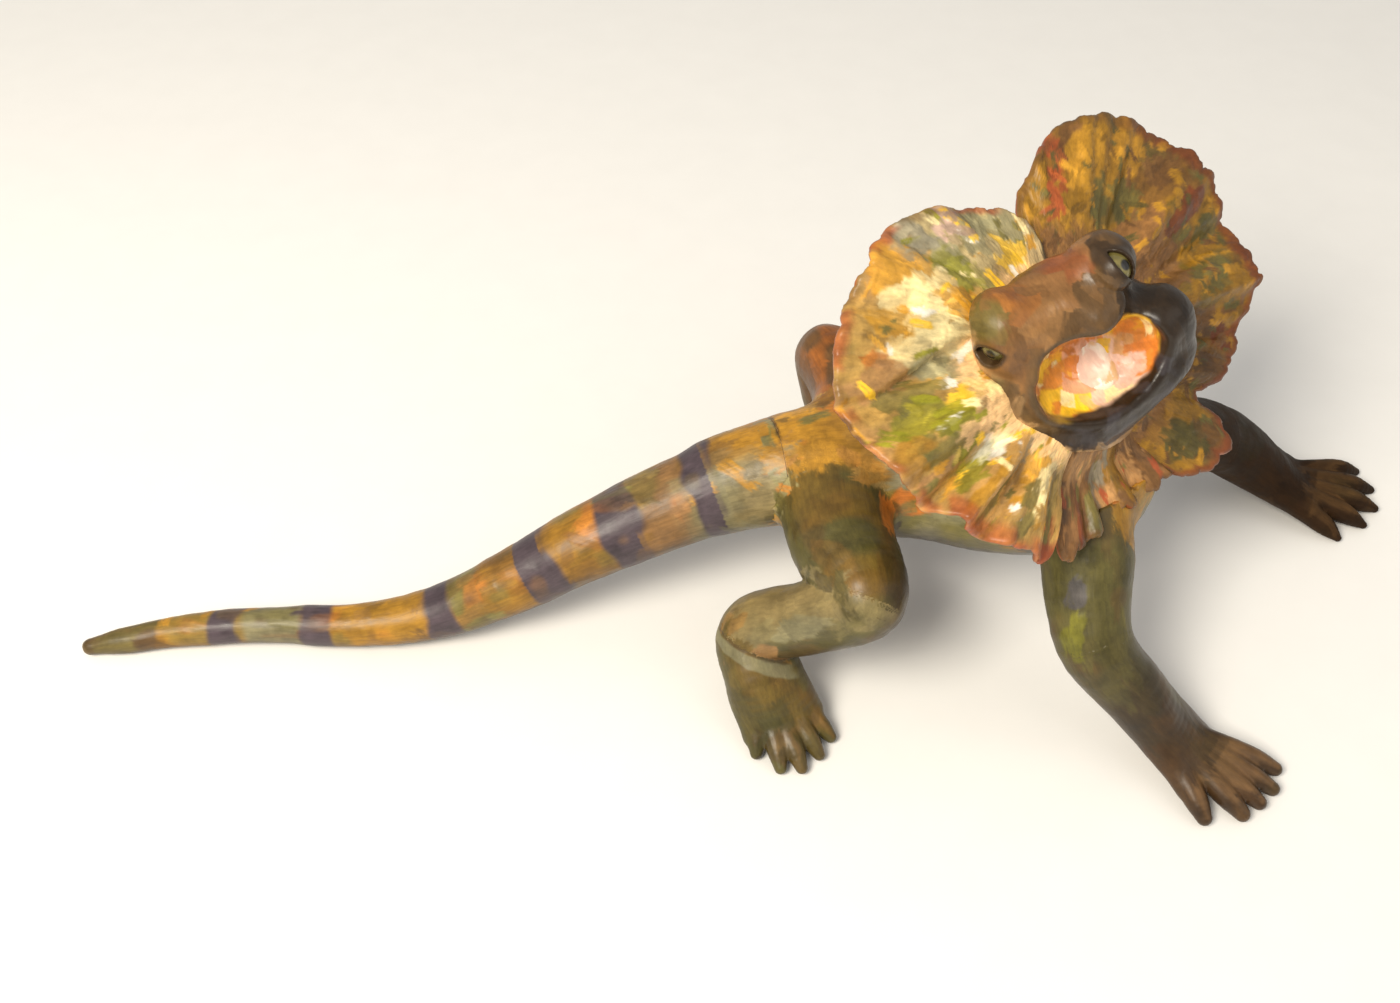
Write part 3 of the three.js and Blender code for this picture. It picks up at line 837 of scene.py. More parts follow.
def paint_leg(canvas, name):
    near_body, far_out, turn_from, turn_to = LEG_PAINT[name]
    bar, shaded = LEG_BARS[name], name == "front_left"
    up = canvas.normals[:, 2]
    mine = np.isin(canvas.owner, LEGS[name]["pieces"])
    at = canvas.points[mine]
    run, blend = np.zeros((2, len(canvas.points)))
    run[mine] = bar.flow(at)[0]
    blend[mine] = smooth(trunk_shape(at) - bar.distance(at), -2, 6)
    share = run / bar.run[-1]
    canvas.wash(near_body, blend)
    canvas.wash(far_out, blend * smooth(share + 0.03 * canvas.noise(8, 70), turn_from, turn_to))
    # On the left arm the blots are darker too: painted shade.
    light = 0.12 if shaded else 0.6
    canvas.blot(OLIVE * light, 12, 71, 0.1, 0.5, blend * 0.35)
    canvas.blot(BROWN * light, 10, 72, 0.2, 0.6, blend * 0.4)
    # Painted shade: darker on the underside of the leg.
    canvas.wash(UMBER, blend * smooth(up, -0.1, -0.7) * 0.6)
    if name == "hind_right":
        canvas.blot(MUSTARD * 0.5, 13, 73, -0.1, 0.4, blend * smooth(up, 0.1, 0.8) * 0.45)
        # Painted shade: umber down the thigh's side towards the head, away from the key lamp.
        canvas.wash(UMBER, blend * smooth(canvas.points[:, 0], 55, 64) * 0.75)
        shank = canvas.owner == "shank_right"
        # Painted highlight: a pale sage sheen on the upper side of the shank.
        canvas.wash(SAGE * 0.55 + GOLD * 0.15, shank * blend * smooth(up, -0.1, 0.5) * 0.5)
    elif name == "front_right":
        canvas.wash(BROWN * 0.36, blend * smooth(share, 0.78, 0.9) * 0.65)
    elif name == "hind_left":
        canvas.blot(ORANGE * 0.55, 10, 80, -0.3, 0.3, blend * smooth(up, 0.0, 0.7) * 0.8)
    ends = blend * smooth(run, bar.run[-1] - 6, bar.run[-1] + 3) * smooth(up, 0.6, 0.95)
    # The left arm's toes get less of the pale tan, to keep its painted shade.
    canvas.wash(TAN * 0.5, ends * (0.3 if shaded else 0.6))


def paint_tail(canvas, tail, run):
    """Ochre, orange and olive between where the dark bands will go."""
    up = canvas.normals[:, 2]
    canvas.wash(OCHRE * 0.52, tail)
    for start, end, colour in TAIL_STRETCHES:
        canvas.wash(colour, smooth(run, start - 2, start + 2) * smooth(run, end + 2, end - 2) * 0.9)
    canvas.blot(ORANGE * 0.8, 11, 12, 0.25, 0.6, tail * smooth(up, 0.0, 0.6) * 0.5)
    canvas.blot(OLIVE * 0.85, 10, 13, 0.15, 0.55, tail * 0.55)
    canvas.blot(BROWN * 0.7, 6, 14, 0.2, 0.6, tail * 0.5)
    # Painted shade: darker on the underside of the tail.
    canvas.wash(BARK * 0.8, tail * smooth(up, 0.1, -0.6) * 0.8)
    front = canvas.normals @ [0.1, -0.95, 0.3]
    canvas.wash(SAGE * 0.55, tail * smooth(run, 222, 236) * smooth(front, 0.35, 0.7) * 0.8)


def paint_ankle(canvas):
    """The pale band with a dark line above it, where the right foot is glued on."""
    at, along = leg_seams(LEGS["hind_right"])[1]
    past = (canvas.points - at) @ along - 3.6
    outer = smooth(canvas.normals @ [-0.3, -0.85, 0.4], 0.2, 0.5) * (canvas.owner == "foot_right")
    ragged = 0.5 * canvas.noise(3, 81)
    canvas.wash(SAGE * 0.5, smooth(np.abs(past) + ragged, 2.2, 1.6) * outer * 0.75)
    canvas.wash(UMBER, smooth(np.abs(past + 2.8) + ragged, 0.9, 0.5) * outer * 0.5)


def paint_body(canvas):
    """Tail, body and legs, painted in one go."""
    tail, torso = canvas.owner == "tail", canvas.owner == "torso"
    up = canvas.normals[:, 2]
    paint_trunk(canvas)
    for name in LEGS:
        paint_leg(canvas, name)
    for dab in BODY_DABS:
        canvas.dab(*dab)
    run = np.where(tail, tail_run(canvas.points) + 1.6 * canvas.noise(9, 11), 400)
    paint_tail(canvas, tail, run)
    canvas.brushwork(0.9 * (tail | torso), 700, (3, 10), (1.2, 3.2), 21, vary=0.17, lift=0.14, turn=0.4,
                     accents=(GOLD * 0.7, OLIVE, OCHRE * 0.6), share=0.12)
    canvas.brushwork(0.9 * ~(tail | torso), 900, (3, 11), (1.2, 3.2), 19, vary=0.14, lift=0.1)
    for n, (at, half) in enumerate(TAIL_BANDS):
        edge = np.abs(run - at - 2.0 * canvas.noise(14, 30 + n)) - half - 1.5 * canvas.noise(7, 40 + n)
        patchy = 1 - 0.3 * smooth(canvas.noise(7, 50 + n), 0.2, 0.6)
        canvas.wash(PLUM * 1.1, smooth(edge, 1.4, -1.2) * patchy * smooth(up, -0.9, -0.4))
    canvas.brushwork(0.5, 500, (2.5, 7), (0.9, 2.0), 22, vary=0.13, lift=0.1, turn=0.6)
    from_seam = np.abs((canvas.points - TAIL_SEAM) @ TAIL_AXIS)
    line = smooth(from_seam + 0.25 * canvas.noise(3, 15), 0.8, 0.4) * smooth(canvas.points[:, 1], -26, -20)
    canvas.wash(UMBER * 0.6, (tail | torso) * line * 0.8)
    paint_ankle(canvas)
    canvas.lift *= smooth(from_seam, 0.4, 1.2)


# ---------------------------------------------------------------- head


def to_head(points):
    return (points - HEAD_PLACE) @ HEAD_FRAME.T


def to_frill(points):
    """Height above the frill, distance from its middle, and angle from the nape towards the lizard's left."""
    local = (points - FRILL_CENTRE) @ FRILL_FRAME.T
    return local[:, 0], np.hypot(local[:, 1], local[:, 2]), np.arctan2(local[:, 1], local[:, 2])


# Each eye's place, radii and look, and the slant, height and half length of the opening between the lids.
EYES = {
    "eye_left": {
        "at": [3.0, 17.6, 5.0], "radii": [5.8, 5.2, 5.4], "look": [0.6, 0.35, 0.7],
        "slant": -1.75, "open": 0.7, "long": 7.0,
    },
    "eye_right": {
        "at": [-1.2, -20.8, -3.4], "radii": [5.0, 4.0, 4.2], "look": [0.55, -0.8, 0.25],
        "slant": 0.3, "open": 1.0, "long": 5.6,
    },
}
EYE_GAP = 0.3  # between an eye and its socket
LID = 0.9  # thickness of the lids

# Balls that the head is built up from: middle, radii, and how softly each flows into the rest.
HEAD_LUMPS = [
    [[-5, 3, -8], [15, 21, 13], 0],  # skull
    [[-2, 1, -1.5], [11.5, 19, 8], 5],  # short snout
    [[-5, -15.5, 3.0], [9, 7.5, 7], 6],  # right brow
    [[-3, 17.8, 3.4], [10, 9, 8], 6],  # left brow
    [[-5, 3, -22], [16, 27, 18], 6],  # back of the jaw
    [[-2, -18.5, -8], [10, 8, 13], 6],  # right cheek
    [[4, -14, -25], [12, 12.5, 12], 5],  # right corner of the jaw
    [[6, 28.5, -26.5], [11.5, 11, 14], 5],  # left corner of the jaw
    [[9, 11, -37], [12.5, 27, 11], 4],  # lower lip
    [[8, 9, -2], [6.5, 8, 4.5], 3],  # nose
]
LIP_PLANE = np.array([0.955, 0.0, 0.297])
LIP_PLACE = np.array([13.2, 3.5, -20.5])
MOUTH_RADII = [13.0, 21.0, 13.8]
MOUTH_TILT = math.radians(-4)
FLOOR_OF_MOUTH = 6.0  # height above the frill that the hollow stops at
SOFT_LIP = 1.5
# The head widens towards the frill: rise and run of the slope, radius at its foot, height that it stops at.
FLARE = {"rise": 18, "run": 13, "foot": 31, "top": 16}


def mouth_shape(q):
    """Distance to the hollow of the mouth, a shallow bowl in the plane of the lips."""
    rise = np.array([-LIP_PLANE[2], 0, LIP_PLANE[0]])
    away = q - LIP_PLACE
    across, high = away[:, 1], away @ rise
    local = np.stack([
        np.minimum(away @ LIP_PLANE, 0),
        across * math.cos(MOUTH_TILT) + high * math.sin(MOUTH_TILT),
        high * math.cos(MOUTH_TILT) - across * math.sin(MOUTH_TILT),
    ], 1)
    hollow = ball(local, [0, 0, 0], MOUTH_RADII)
    corner = ball(local, [0, -8, 7], [9, 9, 8])
    height = q @ (HEAD_FRAME @ FRILL_FRAME[0]) + (HEAD_PLACE - FRILL_CENTRE) @ FRILL_FRAME[0]
    return both(join(hollow, corner, 2), FLOOR_OF_MOUTH - height, 3)


def almond(q, eye):
    """Distance to the opening between the lids."""
    look = unit(np.array(eye["look"]))
    level = unit(np.cross([0, 0, 1], look))
    steep = np.cross(look, level)
    cosine, sine = math.cos(eye["slant"]), math.sin(eye["slant"])
    away = q - eye["at"]
    along = away @ (level * cosine + steep * sine)
    high = away @ (steep * cosine - level * sine)
    reach = eye["long"]
    opening = np.hypot(np.abs(high) + 0.9 * reach - 2.6 * eye["open"], along) - reach
    return np.maximum(opening, 0.4 - away @ look)


def head_field(points):
    q = to_head(points)
    (middle, radii, _), *others = HEAD_LUMPS
    shape = ball(q, middle, radii)
    for middle, radii, softness in others:
        shape = join(shape, ball(q, middle, radii), softness)
    past_lip = (q - LIP_PLACE) @ LIP_PLANE
    nose = 5.5 * np.exp(-((q[:, 1] - 6.5) / 4.5) ** 2) + 4.0 * smooth(q[:, 1], 5, 18)
    upper = smooth(q[:, 2], -24, -14)
    shape = both(shape, (past_lip - SOFT_LIP - nose * upper - 4 * (1 - upper)), 4)
    height, radius, _ = to_frill(points)
    slope = (radius - FLARE["foot"]) * FLARE["rise"] + height * FLARE["run"]
    flare = both(slope / math.hypot(FLARE["rise"], FLARE["run"]), height - FLARE["top"], 4)
    shape = join(shape, flare, 9)
    mouth = mouth_shape(q)
    shape = shape - 1.4 * np.exp(-((mouth - 1.5) / 3.0) ** 2)
    shape = shape + 0.7 * noise(points, 13, 94) + 0.3 * noise(points, 7, 91) + 0.12 * noise(points, 3, 92)
    shape = both(shape, -mouth - 0.25 * noise(points, 3, 93), 1.6)
    for eye in EYES.values():
        shape = join(shape, ball(q, eye["at"], np.array(eye["radii"]) + LID), 1.5)
        shape = both(shape, -almond(q, eye), 0.6)
    return np.maximum(shape, FRILL_THICKNESS / 2 - 1.5 - height)


def head_grain(points):
    """Brush strokes run from the nose back over the head."""
    q = to_head(points)
    grain = np.tile(HEAD_FRAME[0] * 0.6 + HEAD_FRAME[2] * 0.8, (len(points), 1))
    return grain, np.column_stack([q[:, 1], q[:, 0] / 3, q[:, 2] / 3])


def paint_face(canvas, q, height):
    """Brown and rust, olive by the right eye, nearly black down the left side and pale by the frill."""
    ahead, left, up = q.T
    seen_up = 0.61 * up - 0.79 * ahead
    canvas.wash(BROWN * 1.2)
    canvas.blot(TAN * 0.6, 12, 101, 0.0, 0.5, 0.6)
    for colour, across, rise, outer, inner, strength in (
        (RUST * 0.5, 7, 9, 9, 3, 0.6), (ORANGE * 0.5, -12, 8, 9, 3, 0.6), (OLIVE * 0.75, -20, 6, 8, 4, 0.8),
    ):
        canvas.wash(colour, smooth(np.hypot(left - across, seen_up - rise), outer, inner) * strength)
    dark_side = left - 0.62 * (seen_up + 7.3) - 4 + 2.5 * canvas.noise(6, 102)
    clear = smooth(height, 8, 14)
    canvas.wash(BARK * 0.62, smooth(dark_side, -1.5, 3.5) * clear * 0.75)
    canvas.wash(UMBER * 0.62, smooth(dark_side, 8, 13) * clear * 0.9)
    lids = almond(q, EYES["eye_left"])
    canvas.wash(UMBER * 0.7, smooth(lids + 0.8 * canvas.noise(4, 103), 3.2, 1.6) * 0.9)
    right, low = smooth(left, 14, -2), smooth(height, 11, 5)
    canvas.wash(BROWN * 0.9, smooth(height, 13, 6) * right * 0.4)
    canvas.wash(PEACH * 0.72, low * right)
    canvas.wash(TAN * 0.45, low * smooth(left, 2, 16))


def paint_mouth(canvas, q, mouth, lip, sheen):
    """Yellow, orange and pink strokes that stay inside the lips, and the dark edge round them, with painted
    shade at the top of the mouth and along the upper lip.
    """
    _, left, up = q.T
    inside = smooth(mouth + 0.5 * canvas.noise(3, 107), 1.4, 0.4)
    deep = smooth((q - LIP_PLACE) @ LIP_PLANE + canvas.noise(3, 108), 0.5, -2.0)
    canvas.wash(ORANGE * 0.85, inside)
    canvas.wash(YELLOW * 0.95, inside * smooth(canvas.noise(7, 105) - 0.02 * (up + 24), 0.0, 0.3) * 0.95)
    # Painted shade: brick at the top of the mouth, under the upper jaw.
    canvas.wash(BRICK, inside * smooth(up - 0.2 * left, -18, -10) * 0.85)
    canvas.blot(ORANGE * 1.1, 5, 109, 0.2, 0.4, inside * 0.8)
    canvas.wash(PINK, inside * smooth(np.hypot(left - 8, (up + 32) * 0.9), 11, 8) * 0.9)
    before, flat = canvas.colour.copy(), canvas.lift.copy()
    canvas.brushwork(inside * deep, 200, (2, 5), (0.8, 1.8), 26, vary=0.16, lift=0.2, turn=0.8,
                     accents=(YELLOW, ORANGE, CREAM), share=0.3)
    canvas.colour = before + (canvas.colour - before) * (inside * deep)[:, None]
    canvas.lift = flat + (canvas.lift - flat) * inside * deep
    lip_edge = smooth(mouth, 3, 2) * (1 - deep)
    canvas.wash(UMBER * 0.4, lip_edge * lip)
    canvas.wash(SLATE * 0.45, lip_edge * sheen)
    # Painted shade on the inner edge of the upper lip.
    canvas.wash(BARK * 0.85, lip_edge * (1 - lip) * 0.85)


def paint_head(canvas):
    q = to_head(canvas.points)
    _, left, up = q.T
    height = to_frill(canvas.points)[0]
    paint_face(canvas, q, height)
    mouth = mouth_shape(q)
    lip = np.clip(smooth(up, -25, -30) + smooth(left, 19, 23), 0, 1)
    sheen = lip * smooth(canvas.noise(5, 106), 0.2, 0.5) * 0.5
    rim = smooth(np.abs(mouth) + 0.8 * canvas.noise(4, 104), 17, 14)
    canvas.wash(UMBER * 0.4, np.clip(rim * 1.5, 0, 1) * lip * smooth(height, 1.5, 3.5))
    canvas.wash(SLATE * 0.45, rim * sheen)
    # Painted shadow: a dark line along the jaw where the head meets the frill.
    corner = smooth(left, -8, -13) * smooth(up, -8, -14)
    canvas.wash(UMBER * 0.8, smooth(np.abs(height - 7), 3.5, 1.5) * corner * 0.8)
    # Painted shade in the groove inside the upper lip, next to the mouth.
    groove_shade = smooth(np.abs(mouth - 1.2), 3.2, 1.2) * (1 - lip)
    canvas.wash(BARK * 0.75, groove_shade * smooth(left - 0.4 * up, 18, 8) * 0.75)
    canvas.brushwork(smooth(mouth, 0.5, 2), 420, (2, 6), (0.8, 2.1), 25, vary=0.17, lift=0.14, turn=0.5)
    paint_mouth(canvas, q, mouth, lip, sheen)
    for eye in EYES.values():
        canvas.wash(UMBER * 0.5, smooth(almond(q, eye), 1.6, 0.7) * 0.85)


def eye_piece(name, eye):
    look = unit(np.array(eye["look"]))
    middle = HEAD_PLACE + np.array(eye["at"]) @ HEAD_FRAME
    reach = max(eye["radii"]) + 2
    pupil = [0.8, 0.6 * np.sign(eye["at"][1]), 0]

    def field(points):
        return ball(to_head(points), eye["at"], np.array(eye["radii"]) - EYE_GAP)

    def grain_of(points):
        return np.tile(HEAD_FRAME[0], (len(points), 1)), to_head(points)

    def paint_it(canvas):
        q = to_head(canvas.points) - eye["at"]
        side = q - np.outer(q @ look, look)
        canvas.wash(paint("564e24"))
        canvas.blot(paint("7d7340"), 2.5, 111, -0.1, 0.5)
        canvas.wash(paint("0c0a08"), smooth(np.linalg.norm(side - pupil, axis=1), 2.1, 1.5))

    points, faces = skin(middle - reach, middle + reach, EYE_VOXEL, field)
    paint_over([carved(name, points, faces, grain_of, "eye_paint")], paint_it)


TONGUE = [[-3, 7, -25, 6.5, 4], [0, 7, -29, 8, 4], [4.5, 6.5, -32.5, 8, 3.6], [9, 6, -34.5, 6, 2.6]]


def tongue_piece():
    stations = np.array(TONGUE, float)
    stations[:, :3] = HEAD_PLACE + stations[:, :3] @ HEAD_FRAME
    bar = Bar(stations, HEAD_FRAME[1])

    def field(points):
        left = to_head(points)[:, 1] - 3
        crease = 0.7 * np.exp(-(left / 1.6) ** 2)
        return bar.distance(points) + crease + 0.5 * noise(points, 5, 121)

    def paint_it(canvas):
        canvas.wash(PINK * 0.98)
        canvas.blot(WHITE, 5, 122, 0.0, 0.5, 0.8)
        canvas.blot(ORANGE * 1.1, 6, 123, 0.35, 0.6, 0.5)
        canvas.wash(ORANGE, smooth(to_head(canvas.points)[:, 0], 1, -3) * 0.8)
        canvas.brushwork(1.0, 70, (2, 5), (0.8, 1.8), 27, vary=0.08, lift=0.2,
                         accents=(WHITE, PEACH, PINK), share=0.5)

    points, faces = skin(*room(stations), HEAD_VOXEL, field)
    paint_over([carved("tongue", points, faces, bar_grain(bar), "tongue_paint")], paint_it)


# ---------------------------------------------------------------- frill

# Rim radius against the angle from the nape, towards the lizard's left.
FRILL_RIMS = {
    "frill_right": [
        [15, 27], [10, 40], [2, 49], [-12, 59], [-30, 74], [-50, 83], [-68, 90], [-86, 83], [-104, 74],
        [-125, 66], [-137, 65], [-142, 50],
    ],
    "frill_left": [
        [10, 40], [20, 58], [34, 76], [50, 88], [68, 94], [84, 91], [98, 89], [112, 76], [123, 64], [131, 54],
        [137, 66], [144, 71], [152, 66], [159, 54],
    ],
    "frill_throat": [[152, 50], [160, 56], [170, 54], [180, 53], [190, 53], [202, 57], [212, 62], [217, 52]],
}

# Folds: angle at the rim and near the neck, height, half width, and how much steeper the far side is.
FRILL_FOLDS = {
    "frill_right": [
        [7, 12, 3.6, 10, 1.0], [-22, -14, 1.8, 9, 0.5], [-41, -36, 2.2, 10, 0.4], [-57, -50, 1.8, 8, 0.5],
        [-72, -54, -3.2, 7, 0.25], [-87, -80, 2.6, 8, 0.5], [-97, -96, -2.4, 5, 0.5],
        [-105, -109, 4.2, 3.2, 1.0], [-113, -114, -2.6, 5, 0.6], [-121, -119, 2.6, 5, 0.6],
        [-129, -127, 2.4, 4, 0.8], [-135, -134, -2.0, 4, 0.7],
    ],
    "frill_left": [
        [12, 14, -2.4, 12, 1.0], [24, 26, 1.6, 8, 0.6], [44, 40, 2.0, 11, 0.5], [63, 58, -2.2, 9, 0.5],
        [74, 70, 2.6, 7, 0.5], [88, 82, -3.0, 8, 0.4], [99, 94, 2.6, 7, 0.6], [111, 106, -2.6, 7, 0.5],
        [124, 122, 2.4, 7, 0.5], [142, 140, 3.0, 9, 0.6],
    ],
    "frill_throat": [
        [160, 164, 2.0, 4, 0.6], [170, 172, -1.6, 4, 0.6], [180, 180, 2.2, 4, 0.5], [191, 190, -1.8, 4, 0.6],
        [200, 198, 2.2, 4, 0.5], [210, 208, 1.6, 4, 0.6],
    ],
}

PANEL_RADIUS, PANEL_REACH = 78, 70  # of a usual stretch of rim: from the middle, and from the hole
RIM_ROUND = 1.6
HALF_THICK, THINNED = 2.9, 1.3  # half the thickness at the hole, and how much less it is at the rim
FRILL_TILT = {"frill_right": 1.2, "frill_left": -1.4, "frill_throat": -3.2}  # how the panels overlap


def frill_height(name, angle, radius):
    """Height of a panel's middle surface above the plane of the frill."""
    open_out = smooth(radius, 26, 56)
    throat = np.maximum(0, -np.cos(angle)) ** 2
    height = FRILL_TILT[name] - THROAT_DROP * throat * smooth(radius, 24, 40)
    height = height + 1.0 * np.exp(-((radius - FRILL_HOLE) / 13) ** 2)
    degrees = np.degrees(angle)
    for rim, inner, size, half, steep in FRILL_FOLDS[name]:
        line = inner + (rim - inner) * smooth(radius, 25, 80)
        off = (degrees - line) * math.pi / 180 * radius / half
        off = np.where(off > 0, off / steep, off)
        height = height + 1.35 * size * open_out * np.exp(-off ** 2)
    flutes = 0.55 * np.sin(angle * 37 + 1.3 * np.sin(angle * 11)) + 0.35 * np.sin(angle * 61 + 2)
    return height + flutes * smooth(radius, 34, 66)


def ragged_rim(name, angle, seed):
    """Rim radius with the scallops and nicks of a whittled edge."""
    rim = np.array(FRILL_RIMS[name], float)
    if rim[0, 0] > rim[-1, 0]:
        rim = rim[::-1]
    curve = spline(rim, 12)
    radius = np.interp(np.degrees(angle), curve[:, 0], curve[:, 1])
    along = angle * 80
    wave = along / 11.0 + 0.5 * np.sin(along / 17.0 + seed)
    lobes = np.abs(np.sin(math.pi * wave)) ** 0.6
    small = np.abs(np.sin(math.pi * along / 4.3 + seed)) ** 0.7
    chips = noise(np.column_stack([along, 0 * along, 0 * along]), 5, seed)
    strength = 0.8 + 1.4 * smooth(angle, 0.6, 1.3) + 0.6 * noise(np.column_stack([along] * 3), 25, seed)
    return radius + strength * (1.2 * (lobes - 0.7) + 0.5 * (small - 0.6)) + 1.3 * chips


def frill_piece(name, seed):
    rim = FRILL_RIMS[name]
    first, last = sorted((math.radians(rim[0][0]), math.radians(rim[-1][0])))
    across = max(24, round((last - first) * PANEL_RADIUS / SHEET_STEP))
    outward = max(24, round(PANEL_REACH / SHEET_STEP))
    angles = np.linspace(first, last, across + 1)
    edge = ragged_rim(name, angles, seed)
    # Once round the section of the sheet: out along the front, round the rim and back behind.
    share = np.linspace(0, 1, outward + 1)
    turn = np.linspace(0, math.pi, 7)[1:-1]
    reach = np.concatenate([share, np.ones(len(turn)), share[::-1]])
    side = np.concatenate([np.ones(outward + 1), np.cos(turn), -np.ones(outward + 1)])
    over = np.concatenate([np.zeros(outward + 1), np.sin(turn), np.zeros(outward + 1)])
    angle, reach_grid = np.meshgrid(angles, reach, indexing="ij")
    limit = edge[:, None] - RIM_ROUND
    radius = FRILL_HOLE + (limit - FRILL_HOLE) * reach_grid
    from_side = np.minimum(angle - first, last - angle) * np.maximum(radius, 20)
    thick = HALF_THICK - THINNED * smooth(radius / limit, 0.35, 1.0)
    thick = thick * np.sqrt(smooth(from_side, -0.4, 3.5)).clip(0.12)
    radius = radius + over[None] * RIM_ROUND
    height = frill_height(name, angle, radius) + side[None] * thick
    middle = FRILL_CENTRE + height[..., None] * FRILL_FRAME[0]
    points = middle + (radius * np.sin(angle))[..., None] * FRILL_FRAME[1]
    points = points + (radius * np.cos(angle))[..., None] * FRILL_FRAME[2]
    rows, columns = angle.shape
    index = np.arange(rows * columns).reshape(rows, columns)
    ahead = np.roll(index, -1, axis=1)
    faces = np.stack([index[:-1], index[1:], ahead[1:], ahead[:-1]], -1).reshape(-1, 4).tolist()
    for row, turned in ((index[0].tolist(), 1), (index[-1].tolist(), -1)):
        for a in range((columns - 1) // 2):
            b = columns - 1 - a
            corners = [a, a + 1, b - 1, b] if b - a > 2 else [a, a + 1, b]
            faces.append([row[corner] for corner in corners][::turned])
    sheet = {
        "angle": np.degrees(angle).ravel(),
        "radius": radius.ravel(),
        "share": (radius / edge[:, None]).ravel(),
        "front": np.tile(side > 0, rows),
    }

    def grain_of(_):
        outward = np.sin(angle)[..., None] * FRILL_FRAME[1] + np.cos(angle)[..., None] * FRILL_FRAME[2]
        place = np.stack([np.cos(angle) * 60, np.sin(angle) * 60, radius / 3], -1)
        return outward.reshape(-1, 3), place.reshape(-1, 3)

    panel = carved(name, points.reshape(-1, 3), faces, grain_of, "frill_paint")
    paint_over([panel], lambda canvas: FRILL_PAINTERS[name](canvas, **sheet))


def on_frill(name, degrees, radius):
    angle = math.radians(degrees)
    height = frill_height(name, np.array([angle]), np.array([float(radius)]))[0] + 2
    return (FRILL_CENTRE + FRILL_FRAME[0] * height + FRILL_FRAME[1] * math.sin(angle) * radius
            + FRILL_FRAME[2] * math.cos(angle) * radius)


# Patches of paint on the front: angle, radius, half length, half width, colour.
RIGHT_DABS = [
    [-8, 38, 9, 6, YELLOW * 0.95], [-3, 46, 7, 5, SAGE * 0.8], [-22, 62, 6, 5, PINK * 0.75],
    [-30, 55, 9, 5, SAGE * 0.85], [-14, 52, 7, 6, SAGE * 0.8], [-34, 68, 8, 6, GREY * 1.1],
    [-42, 70, 12, 11, GOLD * 1.05], [-33, 48, 12, 5, MOSS * 0.8], [-50, 58, 15, 9, CREAM * 0.95],
    [-44, 46, 10, 5, GOLD], [-56, 71, 9, 8, MUSTARD * 1.3], [-58, 48, 12, 5, CREAM * 0.9],
    [-63, 62, 13, 5, CREAM * 0.8], [-64, 77, 6, 2.5, ORANGE * 0.6], [-69, 74, 12, 6, TAN * 0.9],
    [-67, 52, 12, 4, SAGE * 0.8], [-73, 66, 12, 4, OLIVE * 0.9], [-77, 47, 11, 3.5, YELLOW],
    [-80, 65, 11, 7, MOSS * 0.8], [-84, 55, 8, 5, MOSS], [-86, 74, 9, 6, MUSTARD * 0.9],
    [-90, 64, 11, 5, OLIVE], [-94, 68, 10, 3, TAN * 0.7], [-89, 50, 11, 4, PEACH],
    [-99, 46, 8, 4, WHITE * 0.9], [-100, 58, 9, 4, MOSS * 0.6], [-105, 62, 12, 2.6, MUSTARD * 1.2],
    [-111, 56, 12, 3.5, OLIVE * 0.9], [-112, 42, 9, 3, GREY], [-118, 48, 12, 3, GOLD],
    [-122, 56, 11, 3.5, OLIVE * 0.9], [-126, 44, 12, 3, CREAM * 0.8], [-130, 52, 10, 2.8, GOLD * 0.9],
    [-135, 57, 9, 3, RUST * 0.5],
]
LEFT_DABS = [
    [20, 50, 16, 5, MUSTARD * 0.7], [30, 64, 9, 4, RUST * 0.7], [27, 52, 7, 3, RUST * 0.8],
    [36, 70, 9, 5, BROWN], [42, 66, 12, 7, MUSTARD * 1.1], [49, 36, 8, 4, GOLD * 0.8],
    [54, 76, 9, 8, GOLD * 0.72], [47, 54, 9, 5, OLIVE * 0.7], [58, 62, 9, 6, OLIVE * 0.65],
    [66, 82, 9, 5, BROWN * 0.8], [68, 52, 14, 8, TAN * 0.36 + ORANGE * 0.12], [76, 74, 12, 4, BRICK * 0.8],
    [82, 54, 12, 7, TAN * 0.36 + ORANGE * 0.1], [84, 80, 8, 5, OLIVE * 0.6], [93, 68, 11, 6, OLIVE * 0.7],
    [98, 80, 8, 5, MUSTARD * 0.5], [106, 60, 11, 6, BROWN * 0.8], [112, 70, 9, 5, BRICK * 0.7],
    [123, 55, 10, 6, BROWN * 0.7], [143, 64, 11, 8, BROWN * 0.7], [148, 54, 9, 6, OLIVE * 0.4],
]
THROAT_DABS = [
    [163, 46, 10, 4, BROWN], [170, 46, 10, 4, TAN * 0.75], [178, 44, 12, 3.5, MUSTARD * 0.8],
    [186, 46, 12, 4, TAN], [192, 40, 8, 4, GREY * 0.9], [198, 50, 9, 3, OLIVE * 0.9],
    [206, 54, 9, 3, RUST * 0.45], [212, 52, 10, 3, BROWN],
]


def frill_dabs(canvas, name, dabs, seed, strength):
    for n, (degrees, radius, length, width, colour) in enumerate(dabs):
        canvas.dab(on_frill(name, degrees, radius), length, width, colour, seed + n, strength, 9)


